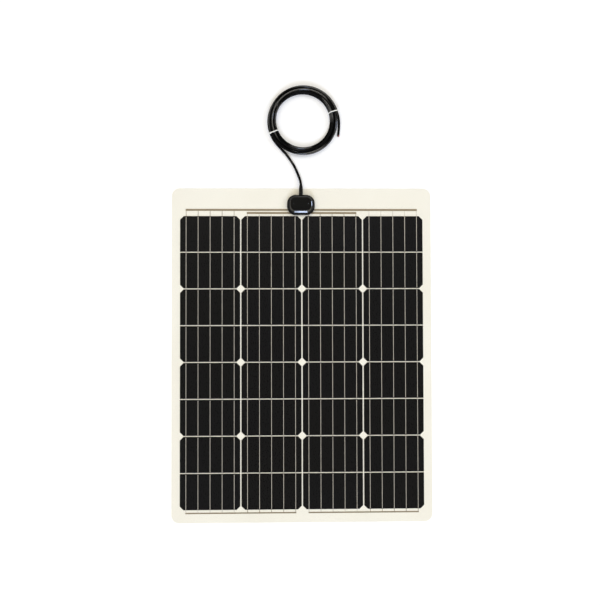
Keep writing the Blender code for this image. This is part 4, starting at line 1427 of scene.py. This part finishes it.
@dataclass
class JunctionBox:
    """The box on the panel's face, with its lid, sleeve, terminals, diodes and cores.

    Rounded edges are steps of inset and rise in millimetres, and the solder's dome is steps of its radius and
    height as shares. Each wave of a joint's edge has its lobes, its size, and its shift per metre in X and Y.
    """

    place: tuple[float, float, float] = (-2 * MM, 392 * MM, 0.0)
    width: float = 72.5 * MM
    depth: float = 52.5 * MM
    corner: float = 22 * MM
    corner_steps: int = 18
    top: float = 20.5 * MM
    seat_gap: float = 0.3 * MM
    base_low: float = 3.25 * MM
    floor_top: float = 4.45 * MM
    ledge_top: float = 6.9 * MM
    rim_top: float = 9.3 * MM
    rim_land: float = 1.5 * MM
    wall: float = 3.0 * MM
    foot_round: Steps = ((0.4, 0.0), (0.12, 0.18), (0.0, 0.6))
    rim_round: Steps = ((0.0, -0.5), (0.09, -0.15), (0.3, 0.0))
    floor_round: Steps = ((0.0, 0.6), (0.2, 0.2), (0.6, 0.0))
    lip: float = 1.0 * MM
    lip_low: float = 8.15 * MM
    lip_rise: float = 1.2 * MM
    lid_low: float = 9.6 * MM
    lid_edge: float = 0.3 * MM
    lid_chamfer: float = 0.15 * MM
    lid_wall: float = 2.2 * MM
    shoulder_x: float = 12 * MM
    shoulder_y: float = 12.75 * MM
    shoulder_power: float = 4 / 3
    shoulder_start: float = 1.4 * MM
    shoulder_steps: int = 18
    inner_shoulder_steps: int = 10
    top_shift: float = 2.8 * MM
    panel_border: float = 1.2 * MM
    panel_bevel: float = 0.4 * MM
    panel_depth: float = 0.4 * MM
    dimple_x: float = 19 * MM
    dimple_radius: float = 2.6 * MM
    dimple_height: float = 0.8 * MM
    dimple_depth: float = 0.5 * MM
    dimple_steps: int = 8
    dimple_sides: int = 32
    slot_width: float = 41 * MM
    slot_depth: float = 4 * MM
    slot_corner: float = 1 * MM
    slot_steps: int = 6
    slot_y: float = -8 * MM
    cutter_overrun: float = 1 * MM
    notch_overrun: float = 2 * MM
    notch_steps: int = 32
    terminal_top: float = 5.55 * MM
    terminal_low_y: float = -5 * MM
    terminal_high_y: float = 13 * MM
    rib_x: float = 9 * MM
    rib_width: float = 1 * MM
    rib_corner: float = 0.45 * MM
    rib_steps: int = 4
    rib_sink: float = 0.2 * MM
    fork_x: float = 18.5 * MM
    diode_radius: float = 3.75 * MM
    diode_length: float = 9 * MM
    diode_round: float = 0.5 * MM
    diode_steps: int = 4
    diode_sides: int = 40
    diode_x: float = 9.25 * MM
    diode_y: float = 5 * MM
    diode_z: float = 9.8 * MM
    diode_lead: float = 0.65 * MM
    diode_lead_round: float = 0.15 * MM
    diode_lead_sides: int = 20
    diode_overrun: float = 1.2 * MM
    leg_xs: tuple[float, ...] = (-15 * MM, -4.2 * MM, 4.2 * MM, 15 * MM)
    leg_end_y: float = -1.75 * MM
    leg_joint: tuple[float, float] = (2.1 * MM, 0.95 * MM)
    core_joint: tuple[float, float] = (1.5 * MM, 2.7 * MM)
    fork_joint: tuple[float, float] = (1.25 * MM, 1.75 * MM)
    fork_joint_drop: float = 0.9 * MM
    joint_sides: int = 24
    joint_dome: Steps = ((1.0, 0.0), (0.84, 0.1), (0.66, 0.34), (0.52, 0.66), (0.34, 0.88), (0.14, 0.98))
    joint_waves: tuple[tuple[float, ...], ...] = ((3, 0.05, 900.0, 0.0), (5, 0.03, 0.0, 700.0))
    cable_radius: float = 3.25 * MM
    cable_z: float = 9.5 * MM
    sheath_end_y: float = 19 * MM
    sleeve_radius: float = 5 * MM
    sleeve_tip_radius: float = 4.1 * MM
    sleeve_tip: float = 0.5 * MM
    sleeve_tip_round: Steps = ((0.12, -0.15), (0.4, 0.0))
    sleeve_end_y: float = 51 * MM
    sleeve_taper: float = 7 * MM
    sleeve_steps: int = 8
    sleeve_sides: int = 48
    flange_radius: float = 7 * MM
    flange_edge: float = 0.3 * MM
    flange_high: float = 22.05 * MM
    flange_low: float = 20.45 * MM
    flange_flat: float = 3.8 * MM
    flange_clearance: float = 0.02 * MM
    core_radius: float = 1.3 * MM
    core_spacing: float = 0.5 * MM
    core_stripped: float = 1.6 * MM
    strand_bundle: float = 0.85 * MM
    core_route: list[Vector] = field(default_factory=lambda: [
        Vector((1.5, -0.3, 2.35)) * MM,
        Vector((1.5, -1.8, 2.35)) * MM,
        Vector((1.5, -3.0, 2.35)) * MM,
        Vector((4.2, -5.0, 2.35)) * MM,
        Vector((8.6, -6.4, 1.75)) * MM,
        Vector((12.6, -7.3, 0.5)) * MM,
        Vector((16.0, -7.7, 0.0)) * MM,
        Vector((19.0, -7.9, 0.0)) * MM,
    ])

    def outline(self, inset_x: float, inset_y: float | None = None, shift: float = 0.0) -> Outline:
        """The box's outline drawn in.

        Args:
            inset_x: How far each end is drawn in.
            inset_y: How far each long side is drawn in, as inset_x if left out.
            shift: How far the outline moves towards the cable.

        Returns:
            The outline's points.
        """
        inset_y = inset_x if inset_y is None else inset_y
        radius = self.corner - max(inset_x, inset_y)
        return Workshop.rounded_rectangle(
            self.width - 2 * inset_x, self.depth - 2 * inset_y, radius, (0.0, shift), self.corner_steps
        )

    def ring(self, inset: float, height: float) -> Ring:
        """The box's outline as a ring at a height."""
        return [(x, y, height) for x, y in self.outline(inset)]

    def rounding(self, steps: Steps, inset: float, height: float) -> list[Ring]:
        """Rings of a rounded edge, with its steps counted from an inset and a height."""
        return [self.ring(inset + draw_in * MM, height + rise * MM) for draw_in, rise in steps]

    def seat(self, piece: bpy.types.Object, body: Body, slot: str, *nodes: str) -> bpy.types.Object:
        """Moves a piece from the box's own frame to its place and settles it."""
        piece.location = piece.location + Vector(self.place)
        return settle(piece, body, slot, *nodes)

    def cable_notch(self, open_to: float | None = None) -> bpy.types.Object:
        """Cutter for the round notch round the sleeve.

        Args:
            open_to: Height down to which the notch stays open, or None for a round hole.

        Returns:
            The cutter.
        """
        radius = self.sleeve_radius + self.seat_gap
        profile = []
        for step in range(self.notch_steps + 1):
            angle = pi * step / self.notch_steps
            profile.append((radius * cos(angle), self.cable_z + radius * sin(angle)))
        if open_to is not None:
            profile += [(-radius, open_to), (radius, open_to)]
        else:
            profile += [(-x, 2 * self.cable_z - z) for x, z in profile[1:-1]]
        low = self.depth / 2 - self.wall - self.notch_overrun
        high = self.depth / 2 + self.notch_overrun
        rings = [[(x, y, z) for x, z in profile] for y in (low, high)]
        return Workshop.loft("notch", rings, Finishes.BOX)

    def shoulder(self, wall: float, steps: int) -> list[Ring]:
        """Rings of the lid's sloped shoulder with its round edges, from the side wall up to the flat top.

        Args:
            wall: How far inside the outer face the rings lie.
            steps: Steps from the wall to the top.

        Returns:
            The rings from the lowest to the highest.
        """
        rings = []
        start = self.lid_low + self.shoulder_start
        rise = self.top - wall - start
        for step in range(steps + 1):
            angle = pi / 2 * step / steps
            draw_in = 1 - max(cos(angle), 0.0) ** self.shoulder_power
            height = start + rise * sin(angle) ** self.shoulder_power
            edge = self.lid_edge + wall
            outline = self.outline(
                edge + self.shoulder_x * draw_in, edge + self.shoulder_y * draw_in, self.top_shift * draw_in
            )
            rings.append([(x, y, height) for x, y in outline])
        return rings

    def top_ring(self, border: float, height: float) -> Ring:
        """Ring on the lid's flat top.

        Args:
            border: How far the ring lies inside the top's edge.
            height: The ring's height.

        Returns:
            The ring.
        """
        edge = self.lid_edge + border
        outline = self.outline(edge + self.shoulder_x, edge + self.shoulder_y, self.top_shift)
        return [(x, y, height) for x, y in outline]

    def build_lid(self) -> None:
        """The lid: one shell with a locating lip, a sloped shoulder, a sunk top panel and two dimples."""
        lip_outer = self.rim_land + self.seat_gap
        lip_inner = lip_outer + self.lip
        section = [
            (lip_inner, self.lid_low + self.lip_rise),
            (lip_inner, self.lip_low),
            (lip_outer, self.lip_low),
            (lip_outer, self.lid_low),
            (self.lid_edge + self.lid_chamfer, self.lid_low),
            (self.lid_edge, self.lid_low + self.lid_chamfer),
        ]
        rings = self.shoulder(self.lid_wall, self.inner_shoulder_steps)[::-1]
        rings += [self.ring(inset, height) for inset, height in section]
        rings += self.shoulder(0.0, self.shoulder_steps)
        rings.append(self.top_ring(self.panel_border, self.top))
        rings.append(self.top_ring(self.panel_border + self.panel_bevel, self.top - self.panel_depth))
        lid = Workshop.loft("junction_box_cover", rings, Finishes.BOX)
        Workshop.combine(lid, self.cable_notch(self.lip_low - self.cutter_overrun), "DIFFERENCE")
        profile = [(0.0, 0.0)]
        for step in range(self.dimple_steps + 1):
            angle = pi / 2 * step / self.dimple_steps
            profile.append((self.dimple_radius * sin(angle), self.dimple_height * (1 - cos(angle))))
        profile.append((0.0, self.dimple_height))
        bottom = self.top - self.panel_depth - self.dimple_depth
        for side in Side:
            dimple = Workshop.lathe("dimple", profile, self.dimple_sides, Finishes.BOX)
            dimple.location = (side.value * self.dimple_x, 0.0, bottom)
            bpy.context.view_layer.update()
            Workshop.combine(lid, dimple, "DIFFERENCE")
        self.seat(lid, Body.LID, "black_housing", "junction_box_lid")

    def build_base(self) -> None:
        """The base: a tray with a stepped rim, the ribbon slot, two ribs and the lower half of the notch."""
        rings = [
            *self.rounding(self.foot_round, 0.0, self.base_low),
            *self.rounding(self.rim_round, 0.0, self.rim_top),
            self.ring(self.rim_land, self.rim_top),
            self.ring(self.rim_land, self.ledge_top),
            self.ring(self.wall, self.ledge_top),
            *self.rounding(self.floor_round, self.wall, self.floor_top),
        ]
        base = Workshop.loft("junction_box_tray", rings, Finishes.BOX)
        rib_depth = self.terminal_high_y - self.terminal_low_y
        rib_y = (self.terminal_high_y + self.terminal_low_y) / 2
        for side in Side:
            outline = Workshop.rounded_rectangle(
                self.rib_width, rib_depth, self.rib_corner, (side.value * self.rib_x, rib_y), self.rib_steps
            )
            low = self.floor_top - self.rib_sink
            rib = Workshop.slab("rib", outline, low, self.terminal_top, Finishes.BOX)
            Workshop.combine(base, rib, "UNION")
        outline = Workshop.rounded_rectangle(
            self.slot_width, self.slot_depth, self.slot_corner, (0.0, self.slot_y), self.slot_steps
        )
        slot = Workshop.slab("slot", outline, 0.0, self.floor_top + self.cutter_overrun, Finishes.BOX)
        Workshop.combine(base, slot, "DIFFERENCE")
        Workshop.combine(base, self.cable_notch(), "DIFFERENCE")
        self.seat(base, Body.PANEL, "black_housing", "junction_box_base")

    def build_sleeve(self) -> bpy.types.Object:
        """The strain relief: a flange with two flats inside the wall and a tapered sleeve outside it.

        Returns:
            The sleeve.
        """
        bore = self.cable_radius + self.seat_gap
        taper_start = self.sleeve_end_y - self.sleeve_taper
        profile = [
            (bore, self.flange_low),
            (self.flange_radius - self.flange_edge, self.flange_low),
            (self.flange_radius, self.flange_low + self.flange_edge),
            (self.flange_radius, self.flange_high - self.flange_edge),
            (self.flange_radius - self.flange_edge, self.flange_high),
            (self.sleeve_radius, self.flange_high),
        ]
        for step in range(self.sleeve_steps + 1):
            share = step / self.sleeve_steps
            narrow = Lead.ease(share) * (self.sleeve_radius - self.sleeve_tip_radius)
            along = taper_start + share * (self.sleeve_taper - self.sleeve_tip)
            profile.append((self.sleeve_radius - narrow, along))
        for draw_in, rise in self.sleeve_tip_round:
            profile.append((self.sleeve_tip_radius - draw_in * MM, self.sleeve_end_y + rise * MM))
        profile.append((bore, self.sleeve_end_y))
        sleeve = Workshop.lathe("strain_relief_sleeve", profile, self.sleeve_sides, Finishes.SLEEVE)
        sleeve.data.transform(Matrix.Rotation(-pi / 2, 4, "X"))
        sleeve.data.transform(Matrix.Translation((0.0, 0.0, self.cable_z)))
        reach = self.flange_radius + self.cutter_overrun
        low = self.flange_low - self.cutter_overrun
        high = self.flange_high + self.flange_clearance
        across = [(-reach, low), (reach, low), (reach, high), (-reach, high)]
        under = Workshop.slab("under", across, 0.0, self.floor_top + self.seat_gap, Finishes.SLEEVE)
        Workshop.combine(sleeve, under, "DIFFERENCE")
        over = Workshop.slab("over", across, self.cable_z + self.flange_flat, self.top, Finishes.SLEEVE)
        Workshop.combine(sleeve, over, "DIFFERENCE")
        return self.seat(sleeve, Body.PANEL, "black_rubber", "strain_relief")

    def build_diode(self, side: Side) -> None:
        """An axial diode: a moulded body with rounded ends, and its leads.

        Args:
            side: Which diode.
        """
        half = self.diode_length / 2
        soft = self.diode_round
        end = [(self.diode_lead, half)]
        for step in range(self.diode_steps + 1):
            angle = pi / 2 * step / self.diode_steps
            end.append((self.diode_radius - soft + soft * sin(angle), half - soft + soft * cos(angle)))
        profile = [(0.0, half), *end, *[(radius, -height) for radius, height in end[::-1]], (0.0, -half)]
        body = Workshop.lathe(f"diode_{side.word}_body", profile, self.diode_sides, Finishes.DIODE)
        inner = self.diode_x - self.seat_gap / 2
        outer = self.fork_x + self.diode_overrun - self.diode_x
        round_end = self.diode_lead_round
        wire = [
            (0.0, -inner),
            (self.diode_lead - round_end, -inner),
            (self.diode_lead, round_end - inner),
            (self.diode_lead, outer - round_end),
            (self.diode_lead - round_end, outer),
            (0.0, outer),
        ]
        leads = Workshop.lathe(f"diode_{side.word}_leads", wire, self.diode_lead_sides, Finishes.TERMINAL)
        for piece in (body, leads):
            piece.rotation_euler = (0.0, side.value * pi / 2, 0.0)
            piece.location = (side.value * self.diode_x, self.diode_y, self.diode_z)
        self.seat(body, Body.PANEL, "black_housing", f"bypass_diode_{side.word}")
        self.seat(leads, Body.PANEL, "tinned_copper")

    def build_core(self, side: Side, finish: Finishes, slot: str) -> None:
        """One core from the sheath's end to its terminal, stripped where it is soldered.

        Args:
            side: Which terminal it goes to.
            finish: The insulation.
            slot: The record's material slot.
        """
        land = self.terminal_top + self.seat_gap + self.core_radius
        route = [Vector((side.value * x, self.sheath_end_y + y, land + z)) for x, y, z in self.core_route]
        path = Workshop.smooth_route(route, self.core_spacing)
        bare = [point for point in path if (point - path[-1]).length < self.core_stripped]
        covered = path[: len(path) - len(bare) + 1]
        insulation = Workshop.tube(f"core_{side.word}_insulation", covered, self.core_radius, finish)
        strands = Workshop.tube(f"core_{side.word}_strands", bare, self.strand_bundle, Finishes.COPPER)
        self.seat(insulation, Body.PANEL, slot, f"core_{side.word}")
        self.seat(strands, Body.PANEL, "tinned_copper")

    def build_solder(self) -> None:
        """Solder on the ribbon ends, the core ends and the forks."""
        joints = [(x, self.leg_end_y, self.terminal_top, *self.leg_joint) for x in self.leg_xs]
        end = self.core_route[-1]
        for side in Side:
            spot = (side.value * end.x, self.sheath_end_y + end.y, self.terminal_top)
            joints.append((*spot, *self.core_joint))
        for x in (-self.fork_x, 0.0, self.fork_x):
            joints.append((x, self.diode_y, self.diode_z - self.fork_joint_drop, *self.fork_joint))
        bm = bmesh.new()
        for x, y, z, radius, height in joints:
            loops = []
            for share, lift in self.joint_dome:
                ring = []
                for step in range(self.joint_sides):
                    angle = 2 * pi * step / self.joint_sides
                    reach = radius * share
                    for lobes, size, by_x, by_y in self.joint_waves:
                        reach += radius * share * size * sin(lobes * angle + x * by_x + y * by_y)
                    spot = (x + reach * cos(angle), y + reach * sin(angle), z + height * lift)
                    ring.append(bm.verts.new(spot))
                loops.append(ring)
            Workshop.bridge(bm, loops, closed=False)
            bm.faces.new(loops[0][::-1])
            bm.faces.new(loops[-1])
        solder = Workshop.piece("solder_joints", bm, Finishes.SOLDER)
        self.seat(solder, Body.PANEL, "tinned_copper")

    def build(self, nodes: Mapping[str, bpy.types.Object]) -> None:
        """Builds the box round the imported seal, pad and terminals.

        Args:
            nodes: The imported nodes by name.
        """
        for name in ("junction_box_pad", "lid_seal"):
            Finishes.SEALANT.put_on(nodes[name])
        for name in ("terminal_left", "terminal_middle", "terminal_right"):
            Finishes.TERMINAL.put_on(nodes[name])
        self.build_base()
        self.build_lid()
        for side in Side:
            self.build_diode(side)
        self.build_core(Side.LEFT, Finishes.RED, "red_insulation")
        self.build_core(Side.RIGHT, Finishes.BLACK, "black_insulation")
        self.build_solder()


def main() -> None:
    """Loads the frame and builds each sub-assembly in order."""
    logging.basicConfig(level=logging.INFO, format="%(message)s")
    for leftover in list(bpy.data.objects):
        bpy.data.objects.remove(leftover)
    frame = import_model()
    bpy.context.scene.view_settings.view_transform = "Standard"
    studio = Studio()
    studio.place_camera()
    box = JunctionBox()
    Lead().build(box.build_sleeve())
    Laminate().build(frame["nodes"])
    CellField().dress(frame["nodes"])
    box.build(frame["nodes"])
    studio.lay_floor()
    studio.light()


if __name__ == "__main__":
    main()
